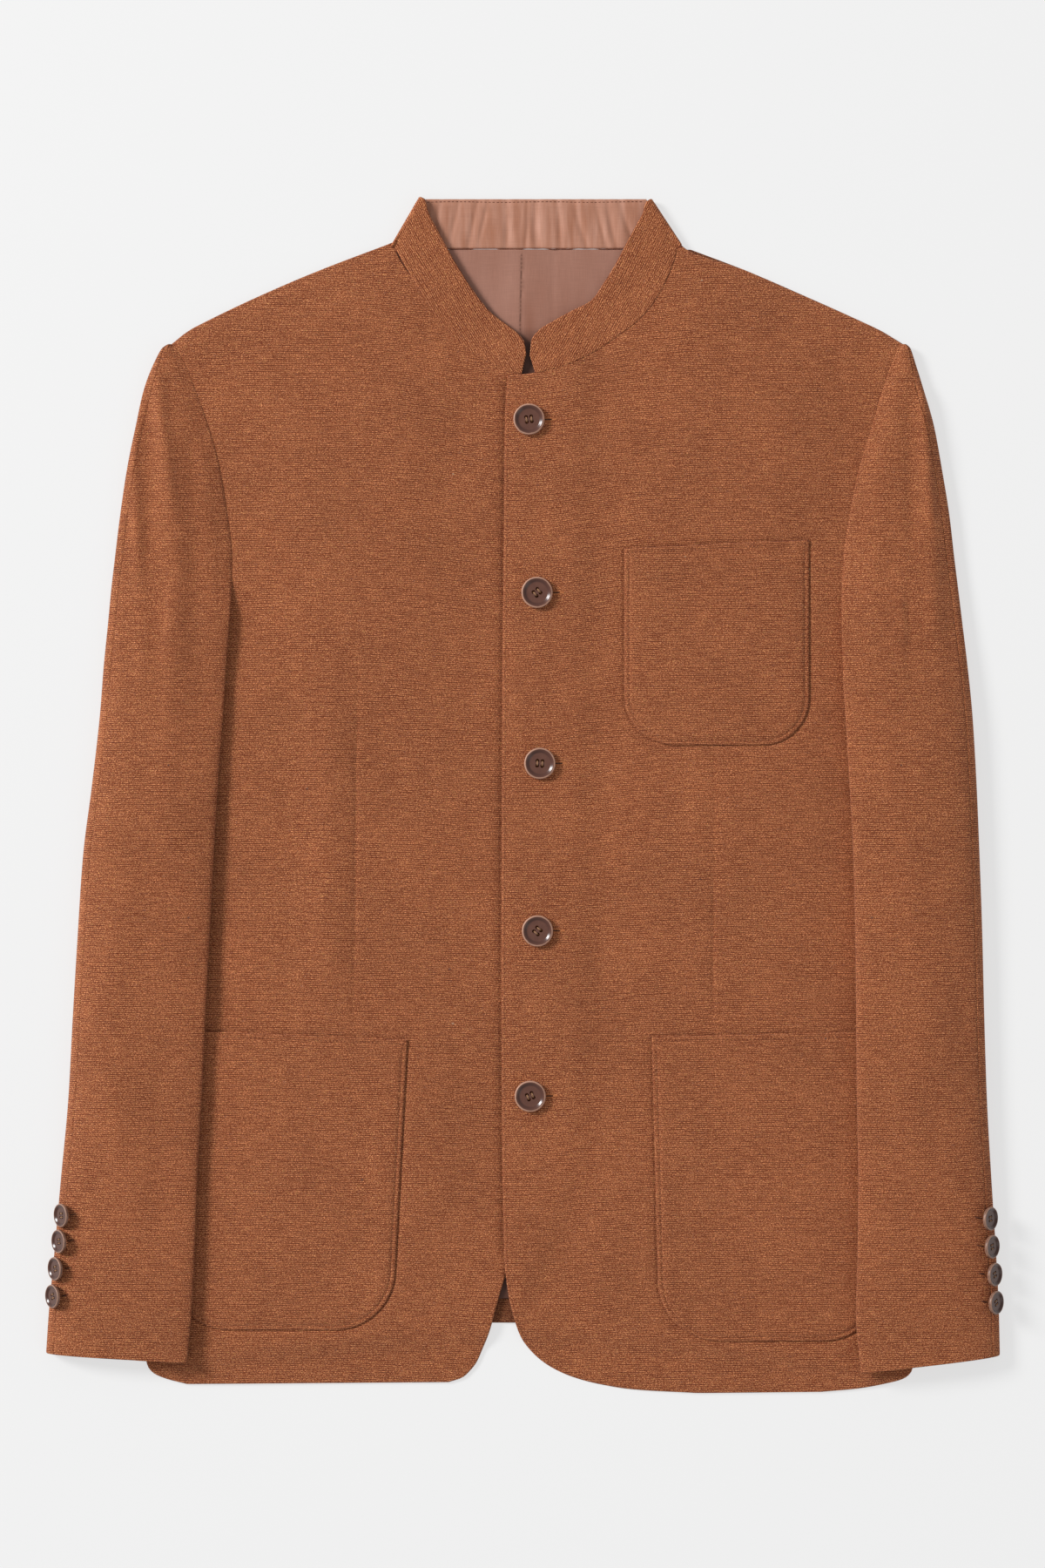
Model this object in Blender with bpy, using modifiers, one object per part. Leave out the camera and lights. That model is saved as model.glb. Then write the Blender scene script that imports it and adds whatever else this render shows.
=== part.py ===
"""Band-collared jacket laid flat on its back, in metres, with +Z up and the collar towards +Y.

Every cloth piece is a sheet lofted through a short table of sections and given its thickness
by Solidify. Sizes are in millimetres until the meshes are made. Right and left are the wearer's.
"""

from collections import namedtuple
import math

import bmesh
import bpy
from mathutils import Matrix, Vector

MM = 0.001

# Cloth thicknesses, and the gap that pieces keep
GAP = 0.3
BACK_WALL = 1.6
LINING_WALL = 1.0
FRONT_WALL = 2.0
SLEEVE_WALL = 2.0
COLLAR_WALL = 1.7
POCKET_WALL = 1.2
POCKET_GAP = 0.45

# Heights of the layers above the surface
ON_BACK = BACK_WALL + GAP
ON_LINING = ON_BACK + LINING_WALL + GAP
OVERLAP_LIFT = FRONT_WALL + GAP
FLOOR_CLEARANCE = 0.05

# Back: the hem is cut higher at its middle than at the side seams
BACK_HEM_MIDDLE_X = -12.0
BACK_HEM_MIDDLE_Y = -336.4
BACK_HEM_DROP = 27.0
BACK_HEM_HALF = 240.0
BACK_NECK_Y = 347.5
HEM_RAMP = 15.0
LINING_SIDE_INSET = 15.0
LINING_HEM_INSET = 15.6
LINING_SHOULDER_INSET = 38.0
LINING_SHOULDER_Y = 270.0
PLEAT_SHARE = 0.43
PLEAT_HEIGHT = 0.8

# Swell of the fronts over the chest and the hips
SWELL = 3.2
SIDE_ROLL = 14.0
SHOULDER_ROLL = 9.0
OVERLAP_RAMP = 20.0
OVERLAP_MARGIN = 8.0

# Sleeves
HIND_SEAM_INSET = 5.6
SLEEVE_EDGE = 5.0
CAP_EDGE = 1.6
SLEEVE_RAMP = 12.0
EDGE_REACH = 24.0
UNDER_SEAM_INSET = 9.0
SEAM_STEP = 0.012
FLOOR_END = -0.8
POCKET_CLEARANCE = 1.8
SLEEVE_GAP = 0.55
BODY_MARGIN = 1.5
UPPER_ROUND = 2.4
CAP_ROUND = 4.0
LOWER_ROUND = 7.0

# Collar
COLLAR_LOW = COLLAR_WALL / 2
COLLAR_SEAM_Z = 5.6
COLLAR_EDGE_Z = 6.9
COLLAR_FOLD_STEPS = 6
COLLAR_BACK_STEPS = 10
COLLAR_INSET = 0.45
NECK_WRINKLES = 12
NECK_WRINKLE_HEIGHT = 0.55

# Buttons
FRONT_BUTTON_RADIUS = 10.0
FRONT_BUTTON_THICK = 3.4
CUFF_BUTTON_RADIUS = 7.5
CUFF_BUTTON_THICK = 2.8
HOLE_RADIUS = 0.95
HOLE_SPACING = 3.2

Section = namedtuple("Section", "left_x left_y right_x right_y bow")

# Right front, hem to shoulder: its side and armhole, then its front edge and neckline
FRONT_RIGHT = [
    Section(-214.2, -375.6, -47.5, -374.4, 0),
    Section(-228.1, -371.9, -38.6, -371.4, 0),
    Section(-235.8, -368.1, -33.6, -366.9, 0),
    Section(-239.4, -363.1, -29.7, -361.9, 0),
    Section(-240.6, -355.8, -26.4, -354.7, 0),
    Section(-240.8, -343.1, -21.4, -341.9, 0),
    Section(-241.4, -326.4, -16.9, -325.8, 0),
    Section(-241.5, -307.5, -11.4, -307.5, 0),
    Section(-240.5, -275.0, 3.0, -275.0, 0),
    Section(-238.5, -240.0, 15.0, -240.0, 0),
    Section(-236.5, -195.0, 21.5, -195.0, 0),
    Section(-234.0, -140.0, 23.5, -140.0, 0),
    Section(-231.0, -80.0, 23.5, -80.0, 0),
    Section(-230.5, -20.0, 23.5, -20.0, 0),
    Section(-232.5, 25.0, 23.5, 40.0, 0),
    Section(-235.8, 60.8, 23.5, 90.0, 0),
    Section(-219.7, 68.1, 23.4, 115.0, 0),
    Section(-204.7, 81.9, 23.3, 140.0, 0),
    Section(-191.4, 106.9, 23.2, 165.0, 0),
    Section(-186.9, 130.3, 23.1, 185.0, 0),
    Section(-186.4, 152.5, 23.0, 205.0, 0),
    Section(-189.7, 179.2, 22.6, 228.0, 0),
    Section(-193.1, 200.8, 22.3, 248.0, 0),
    Section(-197.5, 221.4, 21.9, 265.8, 0),
    Section(-200.6, 230.9, -1.4, 268.0, 0.2),
    Section(-202.6, 237.5, -6.9, 268.9, 0.4),
    Section(-204.8, 243.9, -12.5, 271.8, 0.6),
    Section(-207.2, 250.0, -21.9, 275.8, 1),
    Section(-209.7, 256.9, -36.9, 285.8, 2),
    Section(-213.0, 265.0, -51.9, 300.8, 3),
    Section(-216.5, 273.5, -66.9, 324.2, 4),
    Section(-220.5, 281.0, -80.3, 344.7, 5),
    Section(-224.2, 286.9, -84.2, 349.2, 6),
]

# Left front, hem to shoulder: its front edge and neckline, then its side and armhole
FRONT_LEFT = [
    Section(110.0, -381.4, 190.0, -380.6, 0),
    Section(70.0, -379.1, 214.0, -378.4, 0),
    Section(50.0, -376.0, 231.0, -375.2, 0),
    Section(33.0, -371.6, 244.0, -371.0, 0),
    Section(19.0, -365.5, 248.2, -365.5, 0),
    Section(8.0, -357.5, 248.6, -357.5, 0),
    Section(-0.8, -346.4, 248.8, -346.0, 0),
    Section(-6.0, -332.0, 248.5, -332.0, 0),
    Section(-9.5, -317.0, 248.0, -316.0, 0),
    Section(-11.8, -295.0, 247.0, -295.0, 0),
    Section(-12.3, -270.0, 246.0, -270.0, 0),
    Section(-12.8, -245.0, 245.0, -245.0, 0),
    Section(-13.1, -220.8, 244.0, -220.0, 0),
    Section(-13.6, -137.5, 241.0, -137.0, 0),
    Section(-13.6, -80.0, 239.5, -80.0, 0),
    Section(-13.4, -20.0, 241.0, -20.0, 0),
    Section(-13.1, 40.0, 246.0, 25.0, 0),
    Section(-12.9, 85.0, 249.2, 60.8, 0),
    Section(-12.6, 110.0, 234.2, 68.1, 0),
    Section(-12.3, 135.0, 220.8, 81.9, 0),
    Section(-12.1, 160.0, 208.1, 106.9, 0),
    Section(-11.9, 180.0, 204.2, 130.3, 0),
    Section(-11.8, 200.0, 205.8, 152.5, 0),
    Section(-11.6, 225.0, 209.7, 179.2, 0),
    Section(-11.2, 247.0, 213.6, 200.8, 0),
    Section(-9.7, 266.4, 219.7, 221.4, 0),
    Section(7.5, 268.6, 223.6, 234.0, 0.2),
    Section(18.6, 271.1, 226.4, 243.0, 0.4),
    Section(29.7, 274.7, 228.6, 250.8, 0.7),
    Section(44.7, 281.9, 230.3, 256.9, 1.2),
    Section(59.7, 291.9, 233.0, 265.0, 1.8),
    Section(74.7, 303.6, 235.3, 272.5, 2.4),
    Section(86.4, 318.6, 238.0, 277.5, 3),
    Section(96.9, 341.9, 241.0, 283.5, 3.3),
    Section(100.8, 350.3, 242.5, 286.9, 3.5),
]

# Shares of a front's width at which it has a point, closer together at the overlap
RIGHT_COLUMNS = (0.0, 0.03, 0.08, 0.16, 0.26, 0.36, 0.46, 0.56, 0.66, 0.76, 0.88, 1.0)
LEFT_COLUMNS = (0.0, 0.04, 0.08, 0.12, 0.165, 0.2, 0.25, 0.34, 0.46, 0.58, 0.7, 0.82, 0.92, 0.97, 1.0)

Row = namedtuple("Row", "left_x right_x y bow")

# Back from the armpits to the armholes of the sleeves' caps, and above the shoulder tips
BACK_ARMPIT = [
    Row(-219.7, 234.2, 68.1, 0),
    Row(-204.7, 220.8, 81.9, 0),
    Row(-191.4, 208.1, 106.9, 0),
    Row(-186.9, 204.6, 130.0, 0),
]
BACK_TOP = [
    Row(-202.5, 216.4, 301.4, 0),
    Row(-167.5, 179.2, 318.1, 0),
    Row(-128.6, 140.8, 334.7, 0),
    Row(-91.0, 107.0, BACK_NECK_Y, 0),
]
BACK_LOW_LEVELS = [(-345.0, 0.62), (-325.0, 0.3), (-300.0, 0.1), (-265.0, 0.0)]
BACK_LEVELS = [-220.0, -170.0, -120.0, -70.0, -20.0, 25.0, 60.8]

Cut = namedtuple("Cut", "outer_x outer_y inner_x inner_y height closed")

# Sleeves from the shoulder to the cuff: the outer edge, then the armhole seam or the fold
# over the body, the height of the crown, and whether the ring is closed over the body
SLEEVE_RIGHT = [
    Cut(-229.5, 284.5, -222.6, 284.5, 8.2, 0),
    Cut(-236.1, 272.2, -215.7, 272.2, 10.0, 0),
    Cut(-241.7, 256.7, -209.5, 256.7, 12.0, 0),
    Cut(-246.5, 235.0, -201.7, 235.0, 13.6, 0),
    Cut(-252.0, 208.0, -194.3, 208.0, 15.0, 0),
    Cut(-256.6, 177.0, -189.4, 177.0, 16.0, 0),
    Cut(-259.6, 152.5, -186.5, 152.5, 16.5, 0),
    Cut(-262.2, 130.0, -187.0, 130.0, 17.0, 1),
    Cut(-264.4, 106.9, -188.0, 106.9, 17.4, 1),
    Cut(-266.9, 81.9, -189.4, 81.9, 17.7, 1),
    Cut(-269.2, 52.0, -190.6, 52.0, 18.0, 1),
    Cut(-274.5, 5.0, -193.8, 5.0, 18.0, 1),
    Cut(-280.0, -38.3, -196.3, -38.3, 18.0, 1),
    Cut(-283.5, -90.0, -199.0, -90.0, 18.0, 1),
    Cut(-286.5, -140.0, -201.5, -140.0, 18.0, 1),
    Cut(-289.4, -193.3, -203.9, -193.3, 18.0, 1),
    Cut(-294.2, -245.0, -206.8, -245.0, 17.5, 1),
    Cut(-298.4, -292.0, -208.6, -292.0, 17.0, 1),
    Cut(-301.6, -326.0, -210.4, -328.0, 16.5, 1),
    Cut(-303.6, -355.0, -213.4, -360.3, 16.0, 1),
]
SLEEVE_LEFT = [
    Cut(246.4, 284.5, 240.4, 284.5, 8.2, 0),
    Cut(250.6, 272.2, 235.4, 272.2, 10.0, 0),
    Cut(255.4, 256.7, 230.1, 256.7, 12.0, 0),
    Cut(261.6, 235.0, 223.8, 235.0, 13.6, 0),
    Cut(266.6, 208.0, 215.5, 208.0, 15.0, 0),
    Cut(271.6, 177.0, 209.2, 177.0, 16.0, 0),
    Cut(274.4, 152.5, 205.6, 152.5, 16.5, 0),
    Cut(277.2, 130.0, 204.4, 130.0, 17.0, 1),
    Cut(280.0, 106.9, 203.9, 106.9, 17.4, 1),
    Cut(283.0, 81.9, 203.9, 81.9, 17.7, 1),
    Cut(286.0, 52.0, 204.8, 52.0, 18.0, 1),
    Cut(288.8, 5.0, 207.4, 5.0, 18.0, 1),
    Cut(290.6, -38.3, 209.7, -38.3, 18.0, 1),
    Cut(292.4, -90.0, 211.0, -90.0, 18.0, 1),
    Cut(293.6, -140.0, 211.4, -140.0, 18.0, 1),
    Cut(295.3, -193.3, 211.9, -193.3, 18.0, 1),
    Cut(298.2, -245.0, 212.8, -245.0, 17.5, 1),
    Cut(301.2, -292.0, 212.3, -292.0, 17.0, 1),
    Cut(302.9, -326.0, 211.4, -330.0, 16.5, 1),
    Cut(303.6, -356.5, 214.6, -367.0, 16.0, 1),
]

Fold = namedtuple("Fold", "from_x from_y to_x to_y height width")

# Soft ridges that run down the tops of the sleeves
SLEEVE_FOLDS = [
    Fold(-232.0, 262.0, -221.0, 165.0, 1.6, 9.0),
    Fold(-246.0, 238.0, -242.0, 128.0, 1.1, 7.0),
    Fold(-221.0, 165.0, -229.0, -40.0, 1.0, 14.0),
    Fold(254.0, 254.0, 259.0, 190.0, 1.5, 8.0),
    Fold(259.0, 190.0, 262.0, 118.0, 1.0, 12.0),
    Fold(-268.0, -150.0, -240.0, -290.0, 0.8, 14.0),
    Fold(262.0, -110.0, 236.0, -270.0, 0.8, 14.0),
]

Pair = namedtuple("Pair", "seam_x seam_y edge_x edge_y")

# Front halves of the collar, from the tip to the fold: the neck seam, then the free edge
COLLAR_RIGHT = [
    Pair(-0.8, 268.0, 2.1, 280.3),
    Pair(-6.9, 268.9, 0.8, 288.0),
    Pair(-12.5, 271.8, -2.8, 293.0),
    Pair(-21.9, 275.8, -8.9, 298.0),
    Pair(-36.9, 285.8, -19.9, 306.4),
    Pair(-51.9, 300.8, -29.7, 318.1),
    Pair(-66.9, 324.2, -43.6, 339.7),
    Pair(-80.3, 344.7, -56.1, 362.5),
    Pair(-84.4, 349.6, -65.9, 381.0),
]
COLLAR_LEFT = [
    Pair(7.5, 268.6, 4.4, 279.2),
    Pair(11.9, 269.4, 5.2, 288.3),
    Pair(18.6, 271.1, 9.2, 294.7),
    Pair(29.7, 274.7, 19.2, 301.4),
    Pair(44.7, 281.9, 30.3, 307.5),
    Pair(59.7, 291.9, 43.6, 314.7),
    Pair(74.7, 303.6, 51.9, 326.4),
    Pair(86.4, 318.6, 57.5, 335.3),
    Pair(96.9, 341.9, 68.1, 355.3),
    Pair(101.2, 350.7, 81.9, 379.7),
]

# Pocket corners and rounding: left, right, bottom and top at each end, with corner radii
Pocket = namedtuple("Pocket", "name left right bottom top_left top_right round_left round_right")
POCKETS = [
    Pocket("pocket_chest", 64.6, 182.0, 31.6, 156.7, 162.3, 32.0, 30.0),
    Pocket("pocket_hip_right", -227.0, -73.5, -340.5, -149.2, -155.6, 38.0, 36.0),
    Pocket("pocket_hip_left", 82.0, 229.0, -347.6, -153.6, -150.8, 38.0, 38.0),
]
POCKET_TAPER = {"pocket_hip_right": (2.0, -10.0), "pocket_hip_left": (5.0, 0.0)}

Spot = namedtuple("Spot", "x y turn")
FRONT_BUTTONS = [
    Spot(3.8, 238.6, 8),
    Spot(8.9, 128.6, 40),
    Spot(10.7, 20.0, -4),
    Spot(9.2, -86.4, 52),
    Spot(4.6, -191.4, 24),
]
CUFF_BUTTON_LEVELS = {"right": (-266.5, -283.0, -300.5, -318.0), "left": (-268.6, -286.4, -304.2, -322.0)}
CUFF_BUTTON_TILT = 50.0
CUFF_BUTTON_UP = 5.0

COLOURS = {
    "cloth": (0.305, 0.108, 0.048),
    "lining": (0.36, 0.17, 0.125),
    "collar_lining": (0.45, 0.22, 0.15),
    "button": (0.13, 0.06, 0.045),
}


def ease(share):
    """A smooth step from 0 to 1."""
    share = min(max(share, 0.0), 1.0)
    return share * share * (3 - 2 * share)


def between(a, b, share):
    return a + (b - a) * share


def follow(points, value):
    """The second column at a value of the first, along straight runs, with the ends held."""
    if value <= points[0][0]:
        return points[0][1]
    for (a, x), (b, y) in zip(points, points[1:]):
        if value <= b:
            return between(x, y, (value - a) / (b - a))
    return points[-1][1]


THROAT_Y = 267.0
SIDE_RIGHT = [(s.left_y, s.left_x) for s in FRONT_RIGHT]
SIDE_LEFT = [(s.right_y, s.right_x) for s in FRONT_LEFT]
EDGE_RIGHT = [(s.right_y, s.right_x) for s in FRONT_RIGHT if s.right_y < THROAT_Y]
SHOULDER_LINE = [
    (-224.2, 286.9),
    (-202.5, 301.4),
    (-167.5, 318.1),
    (-128.6, 334.7),
    (-84.2, 349.2),
    (100.8, 350.3),
    (140.8, 334.7),
    (179.2, 318.1),
    (216.4, 301.4),
    (242.5, 286.9),
]
ARMPIT_Y = 60.8


def back_hem(x):
    """The y of the back's hem at x."""
    return BACK_HEM_MIDDLE_Y - BACK_HEM_DROP * ((x - BACK_HEM_MIDDLE_X) / BACK_HEM_HALF) ** 2


def side_distance(x, y):
    """How far a point lies inside the side seam or armhole that is nearest."""
    return min(x - follow(SIDE_RIGHT, y), follow(SIDE_LEFT, y) - x)


def front_rest(x, y):
    """Height of the underside of a front, on the back and its lining."""
    over_back = ease((y - back_hem(x) + HEM_RAMP + 3) / HEM_RAMP)
    inside = side_distance(x, y)
    rim = (ON_LINING - ON_BACK) * (1 - ease(inside / SIDE_ROLL)) * ease((ARMPIT_Y + 20 - y) / 20)
    below_shoulder = follow(SHOULDER_LINE, x) - y
    rim = max(rim, (ON_LINING - ON_BACK) * (1 - ease(below_shoulder / SHOULDER_ROLL)))
    swell = SWELL * ease((inside - 4) / 60) * ease((abs(x - 5) - 28) / 60)
    swell *= ease((y - back_hem(x)) / 110) * ease(below_shoulder / 45)
    swell *= between(0.55, 1.0, math.exp(-(((y - 150) / 130) ** 2)))
    return FLOOR_CLEARANCE + (ON_LINING - rim) * over_back + swell


def overlap(x, y):
    """Extra height of the left front where it lies on the right front."""
    past_edge = x - follow(EDGE_RIGHT, y) - OVERLAP_MARGIN
    return OVERLAP_LIFT * (1 - ease(past_edge / OVERLAP_RAMP))


def front_top(x, y, left):
    """Height of the outer face of a front."""
    return front_rest(x, y) + FRONT_WALL + (overlap(x, y) if left else 0.0)


def sheet(name, rows, wall, colour, offset=-1.0):
    """A cloth piece: a grid of points, given its thickness by Solidify below its outer face."""
    mesh = bpy.data.meshes.new(name)
    model = bmesh.new()
    grid = [[model.verts.new(Vector(point) * MM) for point in row] for row in rows]
    for low, high in zip(grid, grid[1:]):
        for a, b, c, d in zip(low, low[1:], high[1:], high):
            model.faces.new((a, b, c, d))
    model.to_mesh(mesh)
    model.free()
    mesh.shade_smooth()
    return finish(name, mesh, colour, wall, offset)


def finish(name, mesh, colour, wall=None, offset=-1.0):
    """The object of a mesh, with its material and, for cloth, its thickness."""
    piece = bpy.data.objects.new(name, mesh)
    coat.objects.link(piece)
    if not mesh.materials:
        mesh.materials.append(material(colour))
    if wall:
        thick = piece.modifiers.new("cloth", "SOLIDIFY")
        thick.thickness = wall * MM
        thick.offset = offset
        thick.use_even_offset = True
        thick.use_rim = True
    return piece


def material(colour):
    """The Principled material of a colour's name, made once."""
    found = bpy.data.materials.get(colour)
    if found:
        return found
    made = bpy.data.materials.new(colour)
    made.use_nodes = True
    shader = made.node_tree.nodes["Principled BSDF"]
    shader.inputs["Base Color"].default_value = (*COLOURS[colour], 1.0)
    shader.inputs["Roughness"].default_value = 0.35 if colour == "button" else 0.85
    shader.inputs["Metallic"].default_value = 0.0
    return made


def across(section, share):
    """The point of a section at a share of its width, with its bow."""
    x = between(section.left_x, section.right_x, share)
    y = between(section.left_y, section.right_y, share)
    return x, y + 4 * section.bow * share * (1 - share)


def make_front(name, sections, left, shares):
    rows = []
    for section in sections:
        points = [across(section, share) for share in shares]
        rows.append([(x, y, front_top(x, y, left)) for x, y in points])
    sheet(name, rows, FRONT_WALL, "cloth")


def back_sections():
    """The back from hem to neck, as sections from side seam to side seam."""
    hem_left = follow(SIDE_RIGHT, -361.0)
    hem_right = follow(SIDE_LEFT, -366.0)
    found = [Section(hem_left, -361.0, hem_right, -366.0, BACK_HEM_DROP)]
    levels = list(BACK_LOW_LEVELS) + [(y, 0.0) for y in BACK_LEVELS]
    for y, share in levels:
        left_x = follow(SIDE_RIGHT, y)
        right_x = follow(SIDE_LEFT, y)
        found.append(Section(left_x, y, right_x, y, BACK_HEM_DROP * share))
    found += [Section(row.left_x, row.y, row.right_x, row.y, row.bow) for row in BACK_ARMPIT]
    caps = [(a, b) for a, b in zip(SLEEVE_RIGHT, SLEEVE_LEFT) if not a.closed]
    for right, left in reversed(caps):
        found.append(Section(right.inner_x, right.inner_y, left.inner_x, left.inner_y, 0))
    found += [Section(row.left_x, row.y, row.right_x, row.y, row.bow) for row in BACK_TOP]
    return found


def make_back(columns=10):
    rows = []
    for section in back_sections():
        points = [across(section, k / columns) for k in range(columns + 1)]
        rows.append([(x, y, BACK_WALL) for x, y in points])
    sheet("back", rows, BACK_WALL, "cloth")


def make_back_lining():
    """The lining of the back, set in from its edges, with a pleat down its middle."""
    sections = back_sections()
    kept = [sections[0]] + sections[3:-4:2] + sections[-4:]
    shares = [0.0, 0.14, 0.28, PLEAT_SHARE - 0.004, PLEAT_SHARE]
    shares += [PLEAT_SHARE + 0.05, PLEAT_SHARE + 0.1, 0.72, 0.86, 1.0]
    rows = []
    for number, section in enumerate(kept):
        raised = LINING_HEM_INSET if number == 0 else 0.0
        inset = LINING_SHOULDER_INSET if section.left_y > LINING_SHOULDER_Y else LINING_SIDE_INSET
        row = []
        for share in shares:
            x, y = across(section, share)
            lift = 0.0
            if PLEAT_SHARE <= share < 0.7:
                lift = PLEAT_HEIGHT * max(1 - (share - PLEAT_SHARE) / 0.1, 0.0) * ease((y - 300) / 30)
            x += inset * (1 - 2 * share)
            row.append((x, y + raised, ON_BACK + LINING_WALL + lift))
        rows.append(row)
    sheet("back_lining", rows, LINING_WALL, "lining")


def near_fold(fold, x, y):
    """Height that a ridge adds at a point, fading across it and towards its ends."""
    run = Vector((fold.to_x - fold.from_x, fold.to_y - fold.from_y))
    out = Vector((x - fold.from_x, y - fold.from_y))
    along = min(max(out.dot(run) / run.length_squared, 0.0), 1.0)
    away = (out - run * along).length
    ends = ease(along / 0.25 + 0.3) * ease((1 - along) / 0.35 + 0.3)
    return fold.height * ends * math.exp(-((away / fold.width) ** 2))


def sleeve_edge_x(side, y):
    """Where the body ends under a sleeve, at its widest near a level."""
    levels = [y + step for step in (-EDGE_REACH, -EDGE_REACH / 2, 0, EDGE_REACH / 2, EDGE_REACH)]
    if side == "right":
        return min(follow(SIDE_RIGHT, level) for level in levels)
    return max(follow(SIDE_LEFT, level) for level in levels)


def body_under_sleeve(x, y):
    """Height of the body under a sleeve, raised below the waist to clear the hip pocket."""
    return front_rest(x, y) + FRONT_WALL + SLEEVE_GAP + POCKET_CLEARANCE * ease((-90 - y) / 40)


def sleeve_point(side, cut, across_share, upper):
    """A point on the ring of a sleeve: -1 at its outer edge and 1 at its inner edge."""
    half = (cut.inner_x - cut.outer_x) / 2
    x = cut.outer_x + half * (1 + across_share)
    y = between(cut.outer_y, cut.inner_y, (1 + across_share) / 2)
    inward = 1 if half > 0 else -1
    inner_floor = body_under_sleeve(cut.inner_x - 3 * inward, cut.inner_y)
    edge = inner_floor + (SLEEVE_EDGE if cut.closed else CAP_EDGE)
    size = abs(across_share)
    end = SLEEVE_EDGE if across_share < 0 else edge
    end = min(end, cut.height - 1.2)
    if upper:
        crown = (1 - size**UPPER_ROUND) ** (1 / UPPER_ROUND)
        if across_share > 0 and not cut.closed:
            crown = 1 - size**CAP_ROUND
        z = end + (cut.height - end) * crown
        if size < 0.97:
            z += crown * sum(near_fold(fold, x, y) for fold in SLEEVE_FOLDS)
        return x, y, z
    round_by = min(max(abs(half) / 5, 2.0), LOWER_ROUND)
    rise = 1 - (1 - size**round_by) ** (1 / round_by)
    if not cut.closed:
        return x, y, SLEEVE_EDGE * rise if across_share < 0 else 0.0
    past_body = (x - sleeve_edge_x(side, y)) * inward
    floor = ease((past_body + SLEEVE_RAMP + BODY_MARGIN) / SLEEVE_RAMP)
    floor *= body_under_sleeve(x, y)
    return x, y, between(floor, end, rise)


def upper_shares(start, count):
    """Shares across the top of a sleeve, closer together towards its edges."""
    first = math.asin(start)
    return [math.sin(between(first, math.pi / 2, k / count)) for k in range(count + 1)]


def make_sleeve(side, cuts):
    """The top sleeve wraps the inner fold, and the under sleeve wraps the outer edge."""
    top_rows = []
    under_rows = []
    for cut in cuts:
        width = abs(cut.inner_x - cut.outer_x)
        inward = 1 if cut.inner_x > cut.outer_x else -1
        seam = -1 + 2 * min(HIND_SEAM_INSET / width, 0.22)
        gap = 2 * (GAP if cut.closed else 2 * GAP) / width
        top_shares = upper_shares(seam, 9 if cut.closed else 12)
        top_shares.insert(1, seam + SEAM_STEP)
        row = [sleeve_point(side, cut, share, True) for share in top_shares]
        end = 1 - gap
        if cut.closed:
            end = 1 - 2 * UNDER_SEAM_INSET / width
            row += [sleeve_point(side, cut, between(1, end, k), False) for k in (0.12, 0.4, 1.0)]
        top_rows.append(row)
        start = 1 - 2 * (UNDER_SEAM_INSET + GAP) / width if cut.closed else end
        body = sleeve_edge_x(side, cut.inner_y)
        on_body = [body + inward * d for d in (14.0, 5.0, -BODY_MARGIN, -SLEEVE_RAMP - BODY_MARGIN)]
        if cut.closed:
            share_of = [(x - cut.outer_x) / (cut.inner_x - cut.outer_x) * 2 - 1 for x in on_body]
            steps = [min(share, start - 0.03 * (n + 1)) for n, share in enumerate(share_of)]
            steps.insert(0, between(start, steps[0], 0.45))
        else:
            steps = [between(start, -0.2, k / 5) for k in (1, 2, 3, 4, 5)]
        shares = [start, *steps]
        shares += [between(steps[-1], FLOOR_END, k / 2) for k in (1, 2)]
        shares += [-0.88, -0.97, -1.0]
        row = [sleeve_point(side, cut, share, False) for share in shares]
        rising = (-0.985, seam - gap - SEAM_STEP, seam - gap)
        row += [sleeve_point(side, cut, share, True) for share in rising]
        under_rows.append(row)
    if side == "right":
        top_rows.reverse()
        under_rows.reverse()
    sheet(f"sleeve_top_{side}", top_rows, SLEEVE_WALL, "cloth")
    sheet(f"sleeve_under_{side}", under_rows, SLEEVE_WALL, "cloth")


def pocket_rows(pocket, steps=8):
    """The rows of a patch pocket from its rounded bottom corners to its mouth."""
    low_left, low_right = POCKET_TAPER.get(pocket.name, (0.0, 0.0))
    rows = []
    levels = [0.0, 0.012, 0.035, 0.08, 0.14, 0.22, 0.4, 0.6, 0.8, 1.0]
    for level in levels:
        row = []
        for k in range(steps + 1):
            share = k / steps
            top = between(pocket.top_left, pocket.top_right, share)
            y = between(pocket.bottom, top, level)
            left = pocket.left + low_left * (1 - level) + cut_corner(y - pocket.bottom, pocket.round_left)
            right = pocket.right + low_right * (1 - level)
            right -= cut_corner(y - pocket.bottom, pocket.round_right)
            row.append((between(left, right, share), y))
        rows.append(row)
    return rows


def cut_corner(height, radius):
    """How far a rounded corner pulls the side in at a height above the bottom."""
    if height >= radius:
        return 0.0
    return radius - math.sqrt(max(radius**2 - (radius - height) ** 2, 0.0))


def make_pocket(pocket):
    left = pocket.name != "pocket_hip_right"
    rise = POCKET_GAP + POCKET_WALL
    rows = [[(x, y, front_top(x, y, left) + rise) for x, y in row] for row in pocket_rows(pocket)]
    sheet(pocket.name, rows, POCKET_WALL, "cloth")


def collar_pairs():
    """Seam and free-edge points of the collar's middle, round the whole band."""
    found = []
    for table in (COLLAR_RIGHT, COLLAR_LEFT):
        half = []
        for pair in table:
            seam = Vector((pair.seam_x, pair.seam_y, COLLAR_SEAM_Z))
            edge = Vector((pair.edge_x, pair.edge_y, COLLAR_EDGE_Z))
            half.append((seam + (edge - seam).normalized() * COLLAR_INSET, edge))
        found.append(half[:-1] + collar_fold(half[-1]))
    right, left = found
    last_right = right[-1]
    last_left = left[-1]
    back = []
    for k in range(1, COLLAR_BACK_STEPS):
        share = k / COLLAR_BACK_STEPS
        back.append(tuple(a.lerp(b, share) for a, b in zip(last_right, last_left)))
    return right + back + left[::-1]


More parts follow.
